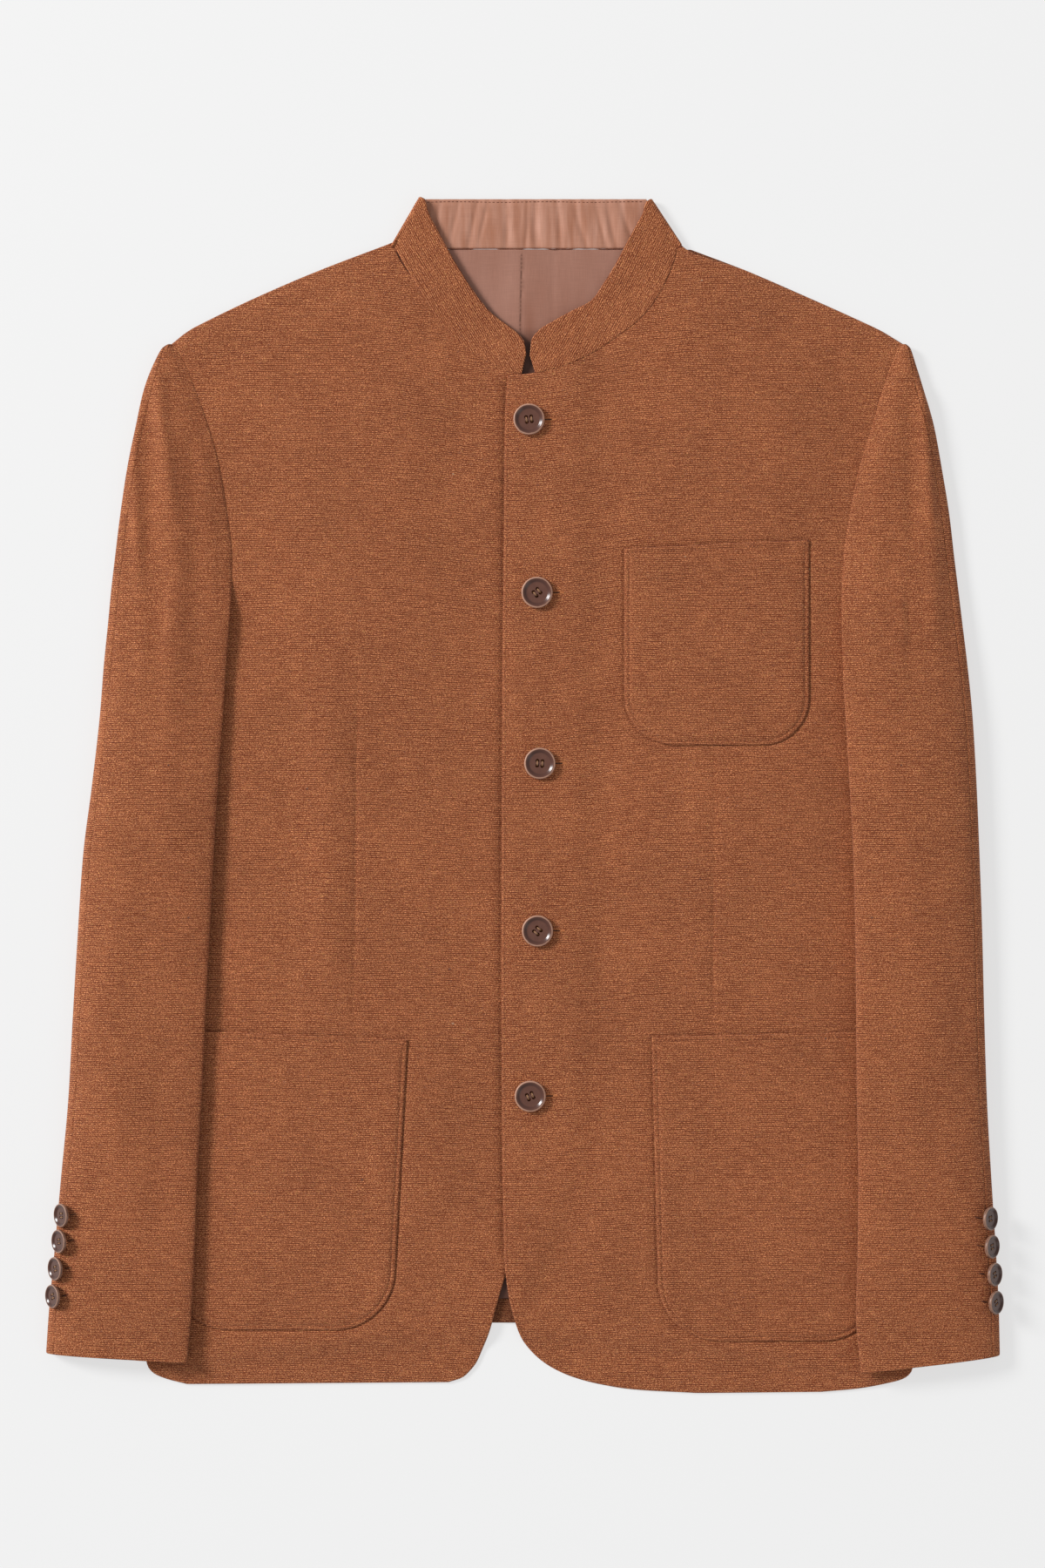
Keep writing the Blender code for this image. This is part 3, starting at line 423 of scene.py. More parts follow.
def ripple(x, y, seed=0.0):
    """Small uneven waves of the cloth, within 1."""
    a = np.sin(x / 23 + seed + 1.3 * np.sin(y / 61 + seed))
    b = np.sin(y / 37 + 2.1 * seed + 1.1 * np.sin(x / 47))
    c = np.sin((x + 0.6 * y) / 29 + 3.7 * seed)
    return (a + b + c * 0.8) / 2.8


def front_top(x, y, left):
    """Height of the outer face of a front, as in the solids."""
    return front_rest(x, y) + FRONT_WALL + np.where(left, overlap(x, y), 0.0)


def front_look(x, y, left):
    """Height of the outer face of a front, with its creases and waves."""
    calm = ease((side_distance(x, y) - 2) / 25)
    detail = creased(x, y, BODY_CREASES) + 0.22 * ripple(x, y, 1.0 if left else 2.0)
    return front_top(x, y, left) + detail * calm


def rounded(distance, radius=EDGE_ROUND):
    """How far a rounded edge lies below the face at a distance in from the edge."""
    share = np.clip(1 - distance / radius, 0, 1)
    return radius * (1 - np.sqrt(1 - 0.92 * share**2))


def stitched(distance, inset=STITCH_INSET, depth=STITCH_DEPTH):
    """The groove that a row of stitches pulls at a distance from an edge."""
    groove = depth * bell(distance - inset, 0.55)
    puff = 0.5 * depth * bell(distance - inset * 2.2, inset * 0.8)
    return puff - groove


def inward(outline):
    """Unit vectors that point into a closed outline, at its points."""
    before, after = np.roll(outline, 1, axis=0), np.roll(outline, -1, axis=0)
    run = after - before
    normal = np.stack([-run[:, 1], run[:, 0]], 1) / np.maximum(np.hypot(*run.T), 1e-9)[:, None]
    area = np.sum(outline[:, 0] * after[:, 1] - after[:, 0] * outline[:, 1])
    return normal if area > 0 else -normal


def link(name, mesh, material):
    piece = bpy.data.objects.new(name, mesh)
    bpy.context.scene.collection.objects.link(piece)
    mesh.materials.clear()
    mesh.materials.append(material)
    return piece


def thicken(piece, wall):
    """Gives a sheet its wall below its outer face, and keeps the result as its mesh."""
    solid = piece.modifiers.new("wall", "SOLIDIFY")
    solid.thickness = wall * MM
    solid.offset = -1.0
    solid.use_even_offset = True
    solid.thickness_clamp = 0.9
    graph = bpy.context.evaluated_depsgraph_get()
    done = bpy.data.meshes.new_from_object(piece.evaluated_get(graph))
    old = piece.data
    piece.modifiers.clear()
    piece.data = done
    done.name = old.name
    bpy.data.meshes.remove(old)
    done.shade_smooth()
    return piece


def add_uv(mesh, weave):
    """Writes the cloth's own coordinates, in metres, as the UV map that the weave follows."""
    layer = mesh.uv_layers.new(name="weave")
    corners = np.empty(len(mesh.loops), np.int32)
    mesh.loops.foreach_get("vertex_index", corners)
    layer.data.foreach_set("uv", (weave[corners] * MM).astype(np.float32).ravel())


def plan_sheet(name, outline, height, weave, material, wall, spacing=5.0, rings=EDGE_RINGS, lines=()):
    """A cloth piece seen in plan: a triangle mesh that follows its outline, edges and seam lines."""
    normal = inward(outline)
    kept = []
    for ring in rings:
        points = outline + normal * ring
        points = points[inside(points, outline)]
        kept.append(points[to_outline(points, outline) > 0.9 * ring])
    for points in lines:
        points = np.asarray(points)
        points = points[inside(points, outline)]
        kept.append(points[to_outline(points, outline) > rings[-1] + 0.6])
    low, high = outline.min(0), outline.max(0)
    xs = np.arange(low[0], high[0], spacing)
    ys = np.arange(low[1], high[1], spacing * 0.866)
    grid_x, grid_y = np.meshgrid(xs, ys)
    grid_x = grid_x + (np.arange(len(ys)) % 2)[:, None] * spacing / 2
    grid = np.stack([grid_x.ravel(), grid_y.ravel()], 1)
    grid = grid[inside(grid, outline)]
    grid = grid[to_outline(grid, outline) > rings[-1] + 0.45 * spacing]
    if lines:
        strips = np.concatenate([np.asarray(points) for points in lines])
        cells = {tuple(cell) for cell in (strips // CELL).astype(int).tolist()}
        near = [
            any((i, j) in cells for i in (column - 1, column, column + 1) for j in (row - 1, row, row + 1))
            for column, row in (grid // CELL).astype(int).tolist()
        ]
        grid = grid[~np.array(near)]
    points = np.concatenate([outline, *kept, grid])
    count = len(outline)
    edges = [(k, (k + 1) % count) for k in range(count)]
    verts, _, faces, _, _, _ = delaunay_2d_cdt([Vector(p) for p in points], edges, [], 1, 1e-6)
    flat = np.array([tuple(v) for v in verts])
    z = height(flat[:, 0], flat[:, 1], to_outline(flat, outline))
    mesh = bpy.data.meshes.new(name)
    mesh.from_pydata(np.column_stack([flat, z]) * MM, [], [tuple(f) for f in faces])
    if mesh.polygons[0].normal.z < 0:
        mesh.flip_normals()
    add_uv(mesh, weave(flat[:, 0], flat[:, 1]))
    return thicken(link(name, mesh, material), wall)


def grid_sheet(name, points, weave, material, wall=None, flip=False):
    """A cloth piece from rows of points, with its weave coordinates."""
    rows, columns = points.shape[:2]
    index = np.arange(rows * columns).reshape(rows, columns)
    faces = np.stack([index[:-1, :-1], index[:-1, 1:], index[1:, 1:], index[1:, :-1]], -1).reshape(-1, 4)
    if flip:
        faces = faces[:, ::-1]
    mesh = bpy.data.meshes.new(name)
    mesh.from_pydata(points.reshape(-1, 3) * MM, [], faces.tolist())
    add_uv(mesh, weave.reshape(-1, 2))
    mesh.shade_smooth()
    piece = link(name, mesh, material)
    return thicken(piece, wall) if wall else piece


def strip_points(path, offsets, step=2.5):
    """Points along a line and beside it, for a seam that needs a finer mesh."""
    run = smooth_run(path, step)
    way = np.gradient(run, axis=0)
    side = np.stack([-way[:, 1], way[:, 0]], 1) / np.hypot(*way.T)[:, None]
    return np.concatenate([run + side * offset for offset in offsets])


# Materials


class Nodes:
    """A material's nodes, added one a call and joined by name."""

    def __init__(self, name):
        self.material = bpy.data.materials.new(name)
        self.material.use_nodes = True
        self.tree = self.material.node_tree
        self.shader = self.tree.nodes["Principled BSDF"]
        self.output = self.tree.nodes["Material Output"]

    def add(self, kind, settings=None, **inputs):
        node = self.tree.nodes.new("ShaderNode" + kind)
        for key, value in (settings or {}).items():
            setattr(node, key, value)
        for key, value in inputs.items():
            self.set(node, key, value)
        return node

    def set(self, node, key, value):
        numbered = key[0] == "i" and key[1:].isdigit()
        self.feed(node.inputs[int(key[1:]) if numbered else key.replace("_", " ")], value)

    def feed(self, socket, value):
        """Joins a socket to another one, or sets its value."""
        if isinstance(value, bpy.types.NodeSocket):
            self.tree.links.new(value, socket)
        elif socket.type == "RGBA" and isinstance(value, tuple) and len(value) == 3:
            socket.default_value = (*value, 1.0)
        else:
            socket.default_value = value

    def math(self, operation, a, b=0.0, c=0.0, clamp=False):
        settings = {"operation": operation, "use_clamp": clamp}
        return self.add("Math", settings, i0=a, i1=b, i2=c).outputs[0]

    def times(self, a, b, clamp=False):
        return self.math("MULTIPLY", a, b, clamp=clamp)

    def around(self, value, size, base, clamp=False):
        """A base, with a noise's swing about its middle added at a size."""
        return self.math("MULTIPLY_ADD", self.math("SUBTRACT", value, 0.5), size, base, clamp)

    def below(self, value, limit, steep):
        """0 above a limit, rising to 1 below it."""
        return self.times(self.math("SUBTRACT", limit, value), steep, True)

    def band(self, value, middle, steep):
        """1 in the middle of a band, falling to 0 beside it."""
        away = self.math("ABSOLUTE", self.math("SUBTRACT", value, middle))
        return self.math("SUBTRACT", 1.0, self.times(away, steep), clamp=True)

    def weave(self):
        return self.add("UVMap", {"uv_map": "weave"}).outputs[0]

    def noise(self, vector, scale, detail=2.0, rough=0.5):
        return self.add("TexNoise", Vector=vector, Scale=scale, Detail=detail, Roughness=rough).outputs["Fac"]

    def mapped(self, vector, scale, move=(0, 0, 0), turn=(0, 0, 0)):
        return self.add("Mapping", Vector=vector, Scale=scale, Location=move, Rotation=turn).outputs[0]

    def cloud(self, vector, scale, move=(0, 0, 0), detail=2, rough=0.5, turn=(0, 0, 0)):
        """Noise with a scale on each axis."""
        return self.noise(self.mapped(vector, scale, move, turn), 1.0, detail, rough)

    def ramp(self, value, *stops):
        node = self.add("ValToRGB", Fac=value)
        marks = node.color_ramp.elements
        while len(marks) < len(stops):
            marks.new(0.5)
        for mark, (place, colour) in zip(marks, stops):
            mark.position = place
            mark.color = (*colour, 1.0) if len(colour) == 3 else colour
        return node.outputs[0]

    def mix(self, share, a, b, blend="MIX"):
        node = self.add("Mix", {"data_type": "RGBA", "blend_type": blend})
        for number, value in ((0, share), (6, a), (7, b)):
            self.feed(node.inputs[number], value)
        return node.outputs[2]

    def lit(self, tone, light):
        """A colour times a level of light."""
        level = self.add("CombineColor", Red=light, Green=light, Blue=light).outputs[0]
        return self.mix(1.0, tone, level, "MULTIPLY")

    def finish(self, colour, roughness, height=None, bump=0.0, **fixed):
        self.set(self.shader, "Base_Color", colour)
        self.set(self.shader, "Roughness", roughness)
        for key, value in fixed.items():
            self.set(self.shader, key, value)
        if height is not None:
            node = self.add("Bump", Height=height, Strength=1.0, Distance=bump * MM)
            self.set(self.shader, "Normal", node.outputs[0])
        return self.material


RIB = 1.25
DARK_RIB = (0.115, 0.016, 0.004)
DEEP = (0.190, 0.038, 0.010)
RUST = (0.440, 0.120, 0.040)
TAN = (0.900, 0.375, 0.165)
GOLD = (0.95, 0.50, 0.17)
GREY = (0.38, 0.22, 0.165)
DARK_NUB = (0.10, 0.06, 0.055)
PALE_NUB = (0.60, 0.42, 0.28)
NECK_SHADOW = (0.075, 0.028, 0.018)
BLACK = (0, 0, 0)
WHITE = (1, 1, 1)
CLOTH_GAIN = 1.12
SHADED_GAIN = 0.62


def cloth_material(name="cloth", gain=CLOTH_GAIN):
    """Ribbed slub cloth: thin dark lines along u, uneven in depth, over a speckle of mixed fibres."""
    n = Nodes(name)
    uv = n.weave()
    v = n.add("SeparateXYZ", Vector=uv).outputs[1]
    shifted = n.around(n.cloud(uv, (11, 16, 1)), 0.0060, v)
    shifted = n.around(n.cloud(uv, (110, 300, 1), (3, 1, 0), 1), 0.0005, shifted)
    wave = n.math("SINE", n.times(shifted, 2 * math.pi / (RIB * MM)))
    line = n.math("POWER", n.math("MULTIPLY_ADD", wave, 0.5, 0.5), 1.5)
    strong = n.around(n.cloud(uv, (100, 600, 1), (7, 5, 0)), 2.6, 0.82, True)
    strong = n.times(strong, n.around(n.cloud(uv, (30, 34, 1), (1, 8, 0)), 0.8, 0.95, True))
    line = n.times(line, strong)
    grain = n.cloud(uv, (1400, 1900, 1), rough=0.8, turn=(0, 0, 0.5))
    fibre = n.cloud(uv, (820, 1600, 1), (5, 2, 0), rough=0.6)
    body = n.around(fibre, 1.8, n.around(grain, 4.6, 0.5), True)
    tone = n.ramp(body, (0.06, DEEP), (0.46, RUST), (0.92, TAN))
    hue = n.cloud(uv, (380, 760, 1), (8, 3, 0), rough=0.7)
    golden = n.times(n.math("SUBTRACT", hue, 0.58), 6.0, True)
    tone = n.mix(n.times(golden, 0.42), tone, GOLD)
    tone = n.mix(n.times(n.below(hue, 0.41, 6.0), 0.40), tone, GREY)
    tone = n.mix(line, tone, DARK_RIB)
    light = n.around(n.cloud(uv, (15, 13, 1), (6, 6, 0), 3), 0.30 * gain, gain)
    tone = n.lit(tone, n.around(n.cloud(uv, (7, 130, 1), (9, 9, 0), 1), 0.07, light))
    nub = n.add("TexVoronoi", {"feature": "F1"}, Vector=n.mapped(uv, (44, 60, 1)), Scale=1.0)
    near_nub = n.math("LESS_THAN", nub.outputs["Distance"], 0.036)
    kind = n.add("SeparateColor", Color=nub.outputs["Color"]).outputs[0]
    dark_nub = n.times(near_nub, n.math("GREATER_THAN", kind, 0.90))
    pale_nub = n.times(near_nub, n.math("LESS_THAN", kind, 0.06))
    tone = n.mix(n.times(dark_nub, 0.7), tone, DARK_NUB)
    tone = n.mix(n.times(pale_nub, 0.6), tone, PALE_NUB)
    height = n.math("MULTIPLY_ADD", line, -0.7, body)
    return n.finish(tone, 0.85, height, 0.30, Sheen_Weight=0.06, Sheen_Roughness=0.5, Specular_IOR_Level=0.2)


def lining_material(name, base, shade, stripe, scale, pleat_and_neck_shade=False):
    """Silky lining with a faint slubbed weft and soft streaks of painted shade; the back's has painted shade
    along and beside its pleat and a painted shadow deep in the neck.
    """
    n = Nodes(name)
    uv = n.weave()
    weft = n.cloud(uv, (70, 2400, 1), rough=0.6)
    warp = n.cloud(uv, (2300, 80, 1), (4, 1, 0), rough=0.6)
    share = n.around(n.cloud(uv, scale, (2, 2, 0)), stripe, 0.30, True)
    if pleat_and_neck_shade:
        u, v = n.add("SeparateXYZ", Vector=uv).outputs[:2]
        past = n.math("MULTIPLY_ADD", v, -PLEAT_LEAN, u)
        past = n.math("SUBTRACT", past, (PLEAT_X - PLEAT_LEAN * PLEAT_Y) * MM)
        # Painted shade beside the pleat, lower down, and a painted dark line along it
        beside = n.times(n.band(past, 0.0060, 150.0), n.below(v, 0.330, 22.0))
        share = n.math("MULTIPLY_ADD", beside, 0.55, share, True)
        share = n.math("MAXIMUM", share, n.times(n.band(past, 0.0004, 2200.0), 0.6))
    tone = n.mix(share, base, shade)
    if pleat_and_neck_shade:
        # Painted shadow deep in the neck opening, towards the collar's tips
        tone = n.mix(n.times(n.below(v, 0.298, 90.0), 0.85), tone, NECK_SHADOW)
    tone = n.lit(tone, n.around(warp, 0.30, n.around(weft, 0.30, 1.0)))
    height = n.math("ADD", weft, warp)
    return n.finish(tone, 0.5, height, 0.05, Sheen_Weight=0.15, Sheen_Roughness=0.4, Specular_IOR_Level=0.3)


def thread_material(name, colour):
    n = Nodes(name)
    place = n.add("TexCoord").outputs["Object"]
    ply = n.noise(place, 2600.0, 2)
    tone = n.mix(ply, tuple(c * 0.7 for c in colour), tuple(min(c * 1.25, 1) for c in colour))
    return n.finish(tone, 0.65, ply, 0.08, Specular_IOR_Level=0.35)


def button_material(name, gain):
    """Brown glossy button: mottled dish, darker ring inside the rim, pale edge."""
    n = Nodes(name)
    radius = n.add("SeparateXYZ", Vector=n.weave()).outputs[0]
    place = n.add("TexCoord").outputs["Object"]
    cloud = n.noise(place, 260.0, 3, 0.6)
    grain = n.cloud(place, (900, 240, 900))
    dish = n.mix(cloud, (0.085, 0.029, 0.019), (0.145, 0.058, 0.038))
    dish = n.mix(n.times(grain, 0.25), dish, (0.18, 0.085, 0.060))
    ring = n.ramp(radius, (0.62, BLACK), (0.72, WHITE), (0.84, (0.55, 0.55, 0.55)), (0.90, BLACK))
    tone = n.mix(n.times(ring, 0.7), dish, (0.060, 0.020, 0.014))
    edge_radius = n.around(cloud, 0.07, radius)
    rim = n.ramp(edge_radius, (0.88, BLACK), (0.93, WHITE), (0.985, WHITE), (1.0, (0.35, 0.35, 0.35)))
    tone = n.mix(n.times(rim, 0.85), tone, (0.52, 0.29, 0.20))
    # A gain below 1 is painted shade, as on the cuff buttons
    tone = n.mix(1.0, tone, (gain, gain, gain), "MULTIPLY")
    rough = n.math("MULTIPLY_ADD", rim, 0.22, 0.24)
    return n.finish(tone, rough, cloud, 0.03, Specular_IOR_Level=0.42, Coat_Weight=0.08, Coat_Roughness=0.15)


CLOTH = cloth_material()
# A darker copy of the cloth: painted shade for the back's inner face under the fronts
CLOTH_SHADED = cloth_material("cloth_shaded", SHADED_GAIN)
LINING = lining_material("lining", (0.385, 0.190, 0.138), (0.255, 0.098, 0.058), 1.3, (46, 9, 1), True)
COLLAR_LINING = lining_material("collar_lining", (0.5, 0.245, 0.168), (0.33, 0.12, 0.058), 1.9, (230, 26, 1))
BUTTON = button_material("button", 1.0)
# A darker copy of the button material for the tilted cuff buttons: painted shade
CUFF_BUTTON_SHADED = button_material("cuff_button", 0.68)
THREAD = thread_material("thread", (0.17, 0.048, 0.020))
BUTTON_THREAD = thread_material("button_thread", (0.36, 0.19, 0.10))
BOUND_THREAD = thread_material("bound_thread", (0.58, 0.20, 0.070))
SLIT_SHADE = thread_material("buttonhole_slit_shade", (0.055, 0.018, 0.011))
SEAM_THREAD = thread_material("seam_thread", (0.20, 0.065, 0.038))
CLOTH_NODES = {}


def give(piece, node=None):
    """Says what a piece rides on and which solid it replaces, and keeps it under that solid's name."""
    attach(piece, "root")
    if node:
        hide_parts(node)
        CLOTH_NODES[node] = piece
    return piece


def plain_weave(x, y):
    return np.stack([x, y], 1)


# Fronts, back and back lining


def corner_cut(height, radius):
    inner = np.maximum(radius**2 - (radius - np.minimum(height, radius)) ** 2, 0)
    return radius - np.sqrt(inner)


def pocket_outline(pocket):
    low_left, low_right = POCKET_TAPER.get(pocket.name, (0.0, 0.0))
    turn = np.linspace(0, 1, 60) ** 2
    run = {}
    for side, top, edge, taper, radius in (
        ("left", pocket.top_left, pocket.left, low_left, pocket.round_left),
        ("right", pocket.top_right, pocket.right, low_right, pocket.round_right),
    ):
        y = between(pocket.bottom, top, turn)
        cut = corner_cut(y - pocket.bottom, radius)
        x = edge + taper * (1 - turn) + (cut if side == "left" else -cut)
        run[side] = np.stack([x, y], 1)
    mouth = np.array([run["right"][-1], run["left"][-1]])
    base = np.array([run["left"][0], run["right"][0]])
    return closed_outline(base, run["right"], mouth, run["left"][::-1], step=2.0)


def front_outline(table):
    left = table[:, 0:2]
    right = table[:, 2:4]
    (x0, y0), (x1, y1) = right[-1], left[-1]
    ridge = SHOULDER_LINE[1:5] if x1 < 0 else SHOULDER_LINE[6:-1]
    top = np.vstack([(x0, y0), ridge[::-1] - (0, 0.25), (x1, y1)])
    hem = np.array([left[0], right[0]])
    return left, right, top, hem


def front_right_weave(x, y):
    """Ribs sag towards the front edge of the right front."""
    sag = 9.0 * ease((x + 150) / 170) ** 1.5 * between(0.35, 1.0, ease((y + 100) / 300))
    return np.stack([x, y + sag], 1)


def front_left_weave(x, y):
    """Ribs rise away from the front edge of the left front."""
    rise = 10.0 * (1 - ease((x + 14) / 150)) ** 1.5 * between(0.35, 1.0, ease((y + 100) / 300))
    return np.stack([x, y + rise + LEFT_WEAVE], 1)


def make_front(name, table, left_side, weave):
    left, right, top, hem = front_outline(table)
    own = left if left_side else right
    corner = int(np.searchsorted(own[:, 1], THROAT_Y)) - 1
    if left_side:
        outline = closed_outline(hem, right, top, own[corner:][::-1], own[:corner + 1][::-1])
    else:
        outline = closed_outline(hem, own[:corner + 1], own[corner:], top, left[::-1])
    edge_x, edge_y = own.T
    neck = smooth_run(own[corner:], 2.0)
    neckline = np.concatenate([neck, neck[-2:0:-1]])
    sewn_on = [pocket_outline(pocket) for pocket in POCKETS if (pocket.left > 0) == left_side]

    def height(x, y, distance):
        here = np.stack([x, y], 1)
        z = front_look(x, y, left_side)
        front_edge = np.abs(x - np.interp(y, edge_y, edge_x))
        hemmed = (front_edge < 12) & (y < THROAT_Y) | (y < back_hem(x) + 8)
        z += np.where(hemmed, stitched(distance, 2.2, 0.22), 0)
        seam = (y > ARMPIT_Y) & (side_distance(x, y) < 12)
        z -= np.where(seam, ARMHOLE_DIP * bell(distance, 1.6), 0)
        if left_side:
            z -= FRONT_PRESS * (1 - ease(front_edge / 8)) * ease((THROAT_Y + 4 - y) / 8)
        else:
            beside = x - np.interp(y, FRONT_LEFT[:, 1], FRONT_LEFT[:, 0])
            dip = EDGE_DIP * bell(beside + 0.35, 0.75)
            z -= dip * ease((THROAT_Y - y) / 8) * ease((y + 312) / 8)
        for sewn in sewn_on:
            beside = to_outline(here, sewn)
            dip = POCKET_DIP * bell(beside - 0.4, 0.7)
            z -= np.where(inside(here, sewn), 0, dip)
        from_neck = to_outline(here, neckline)
        return z - rounded(distance) * between(0.25, 1.0, ease((from_neck - 2) / 4))

    lines = [strip_points(DARTS[name], DART_ROWS)]
    for sewn in sewn_on:
        lines.append(strip_points(np.vstack([sewn, sewn[:1]]), POCKET_ROWS))
    if not left_side:
        edge = [(x, y) for x, y in FRONT_LEFT[:, 0:2] if -305 < y < THROAT_Y]
        lines.append(strip_points(edge, EDGE_ROWS_BESIDE))
    piece = plan_sheet(name, outline, height, weave, CLOTH, FRONT_WALL, lines=lines)
    return give(piece, name)


make_front("front_right", FRONT_RIGHT, False, front_right_weave)
make_front("front_left", FRONT_LEFT, True, front_left_weave)


def back_edges():
    """The back's side edges from hem to armpit, and its armholes with the sleeves' caps."""
    sides = []
    for (levels, xs), sleeve, hem_y, armhole in (
        (SIDE_RIGHT, SLEEVE_RIGHT, BACK_HEM_RIGHT, BACK_ARMHOLE_RIGHT),
        (SIDE_LEFT, SLEEVE_LEFT, BACK_HEM_LEFT, BACK_ARMHOLE_LEFT),
    ):
        low = [(np.interp(y, levels, xs), y) for y in (hem_y, *BACK_SIDE_LEVELS)]
        cap = [(row[2], row[3]) for row in sleeve[::-1] if not row[5]]
        sides.append((np.array(low), np.array(armhole + cap)))
    return sides


def back_outline(step=4.0):
    (low_r, arm_r), (low_l, arm_l) = back_edges()
    share = np.linspace(0, 1, 25)
    hem_x = between(low_r[0, 0], low_l[0, 0], share)
    hem_y = between(BACK_HEM_RIGHT, BACK_HEM_LEFT, share) + 4 * BACK_HEM_DROP * share * (1 - share)
    hem = np.stack([hem_x, hem_y], 1)
    top_l = np.vstack([arm_l[-1], SHOULDER_LINE[-2:-6:-1], (107.0, BACK_NECK_Y)])
    top_r = np.vstack([arm_r[-1], SHOULDER_LINE[1:5], (-91.0, BACK_NECK_Y)])
    up_l = np.vstack([low_l[-1], arm_l])
    down_r = np.vstack([arm_r[::-1], low_r[-1]])
    neck = np.array([top_l[-1], top_r[-1]])
    return closed_outline(hem, low_l, up_l, top_l, neck, top_r[::-1], down_r, low_r[::-1], step=step)


def make_back():
    """The back: its upward, inner face takes a darker copy of the cloth, painted shade where the fronts shade
    the turned-up hem.
    """

    def height(x, y, distance):
        return BACK_WALL - rounded(distance, 0.7)

    def weave(x, y):
        return plain_weave(x, y + BACK_WEAVE)

    back = plan_sheet(
        "back", back_outline(), height, weave, CLOTH, BACK_WALL, spacing=9.0, rings=BACK_RINGS
    )
    back.data.materials.append(CLOTH_SHADED)
    # Upward faces take the darker copy: painted shade
    for face in back.data.polygons:
        face.material_index = 1 if face.normal.z > 0.2 else 0
    give(back, "back")


make_back()


def lining_height(x, y, distance):
    """Back lining: a centre pleat lapped to one side, a faint second crease and soft pulls."""
    open_neck = ease((y - 255) / 30)
    past = x - (PLEAT_X + PLEAT_LEAN * (y - PLEAT_Y))
    lap = 0.45 * ease((0.7 - past) / 1.2) * ease((past + 26) / 22)
    groove = 0.3 * bell(past - 0.6, 0.7)
    crease = -0.22 * bell(x - 18.5 - 0.03 * (y - PLEAT_Y), 1.2)
    pulls = 0.12 * np.sin(x / 5.3 + 0.9 * np.sin(y / 23)) * ease((y - 310) / 35)
    sway = 0.35 * np.sin(x / 17 + 0.6) * np.sin(y / 41 + 1.0)
    return ON_BACK + LINING_WALL + (lap - groove + crease + pulls + sway) * open_neck - rounded(distance, 0.5)


def make_back_lining():
    outline = back_outline(5.0)
    centre_x = (outline[:, 0].min() + outline[:, 0].max()) / 2
    inset = np.where(outline[:, 1] > 270, 38.0, 15.0)
    outline[:, 0] -= np.clip((outline[:, 0] - centre_x) / 235, -1, 1) * inset
    outline[:, 1] += np.where(outline[:, 1] < -330, LINING_HEM_INSET, 0)
    open_neck = np.stack(np.meshgrid(np.arange(-88, 104, 1.6), np.arange(262, 347, 3.0)), -1)
    pleat = [(PLEAT_X + PLEAT_LEAN * (y - PLEAT_Y), y) for y in (262, 346)]
    lines = [open_neck.reshape(-1, 2), strip_points(pleat, PLEAT_ROWS)]
    lining = plan_sheet(
        "back_lining", outline, lining_height, plain_weave, LINING, LINING_WALL, spacing=9.0,
        rings=BACK_RINGS, lines=lines,
    )
    give(lining, "back_lining")


make_back_lining()

# Sleeves


def sleeve_edge_x(side, y):
    levels = [y + step for step in (-EDGE_REACH, -EDGE_REACH / 2, 0, EDGE_REACH / 2, EDGE_REACH)]
    if side == "right":
        return np.min([np.interp(level, *SIDE_RIGHT) for level in levels], axis=0)
    return np.max([np.interp(level, *SIDE_LEFT) for level in levels], axis=0)


def body_under_sleeve(x, y):
    return front_rest(x, y) + FRONT_WALL + SLEEVE_GAP + POCKET_CLEARANCE * ease((-90 - y) / 40)


def sleeve_rows(table, count=150):
    """The sleeve's sections, smooth along it and closer together at the cuff."""
    last = len(table) - 1
    at = np.linspace(0, last, count)
    at = np.concatenate([at[:-1], last - np.array([0.06, 0.03, 0.012, 0.0])])
    return np.stack([smooth(at, np.arange(len(table)), table[:, k]) for k in range(6)], 1)


def sleeve_points(side, rows, shares, upper):
    """Points of a sleeve's ring: shares run from -1 at the outer edge to 1 at the inner edge."""
    outer_x, outer_y, inner_x, inner_y, crown_z, closed = (column[:, None] for column in rows.T)
    half = (inner_x - outer_x) / 2
    x = outer_x + half * (1 + shares)
    y = between(outer_y, inner_y, (1 + shares) / 2)
    inward = 1 if half[0, 0] > 0 else -1
    floor_in = body_under_sleeve(inner_x - 3 * inward, inner_y)
    seam_z = front_rest(inner_x + 2 * inward, inner_y) + FRONT_WALL - 0.5
    edge = between(seam_z, floor_in + SLEEVE_EDGE, ease((LIFT_FROM - inner_y) / 30))
    size = np.abs(shares)
    end = np.where(shares < 0, SLEEVE_EDGE, edge)
    end = np.minimum(end, crown_z - 1.2)
    crown_z = end + (crown_z - end) * between(CAP_LOOK, 1.0, ease((160 - y) / 130))
    if upper:
        power = np.where(shares > 0, between(CAP_ROUND, UPPER_ROUND, ease((150 - y) / 400)), UPPER_ROUND)
        crown = (1 - size**power) ** (1 / power)
        z = end + (crown_z - end) * crown
        fade = ease((1 - size) / 0.12)
        detail = creased(x, y, SLEEVE_CREASES)
        detail = detail + 0.3 * ripple(x * 1.4, y * 0.8, 5.0 if side == "left" else 3.0)
        return np.stack([x, y, z + detail * fade], -1)
    round_by = np.clip(np.abs(half) / 5, 2.0, LOWER_ROUND)
    rise = 1 - (1 - np.minimum(size, 1) ** round_by) ** (1 / round_by)
    past_body = (x - sleeve_edge_x(side, y)) * inward
    floor = ease((past_body + SLEEVE_RAMP + BODY_MARGIN) / SLEEVE_RAMP) * body_under_sleeve(x, y)
    closed_z = between(floor, end, rise)
    open_z = np.where(shares < 0, SLEEVE_EDGE * rise, 0.0)
    z = np.where(closed > 0.5, closed_z, open_z)
    return np.stack([x, y, z], -1)


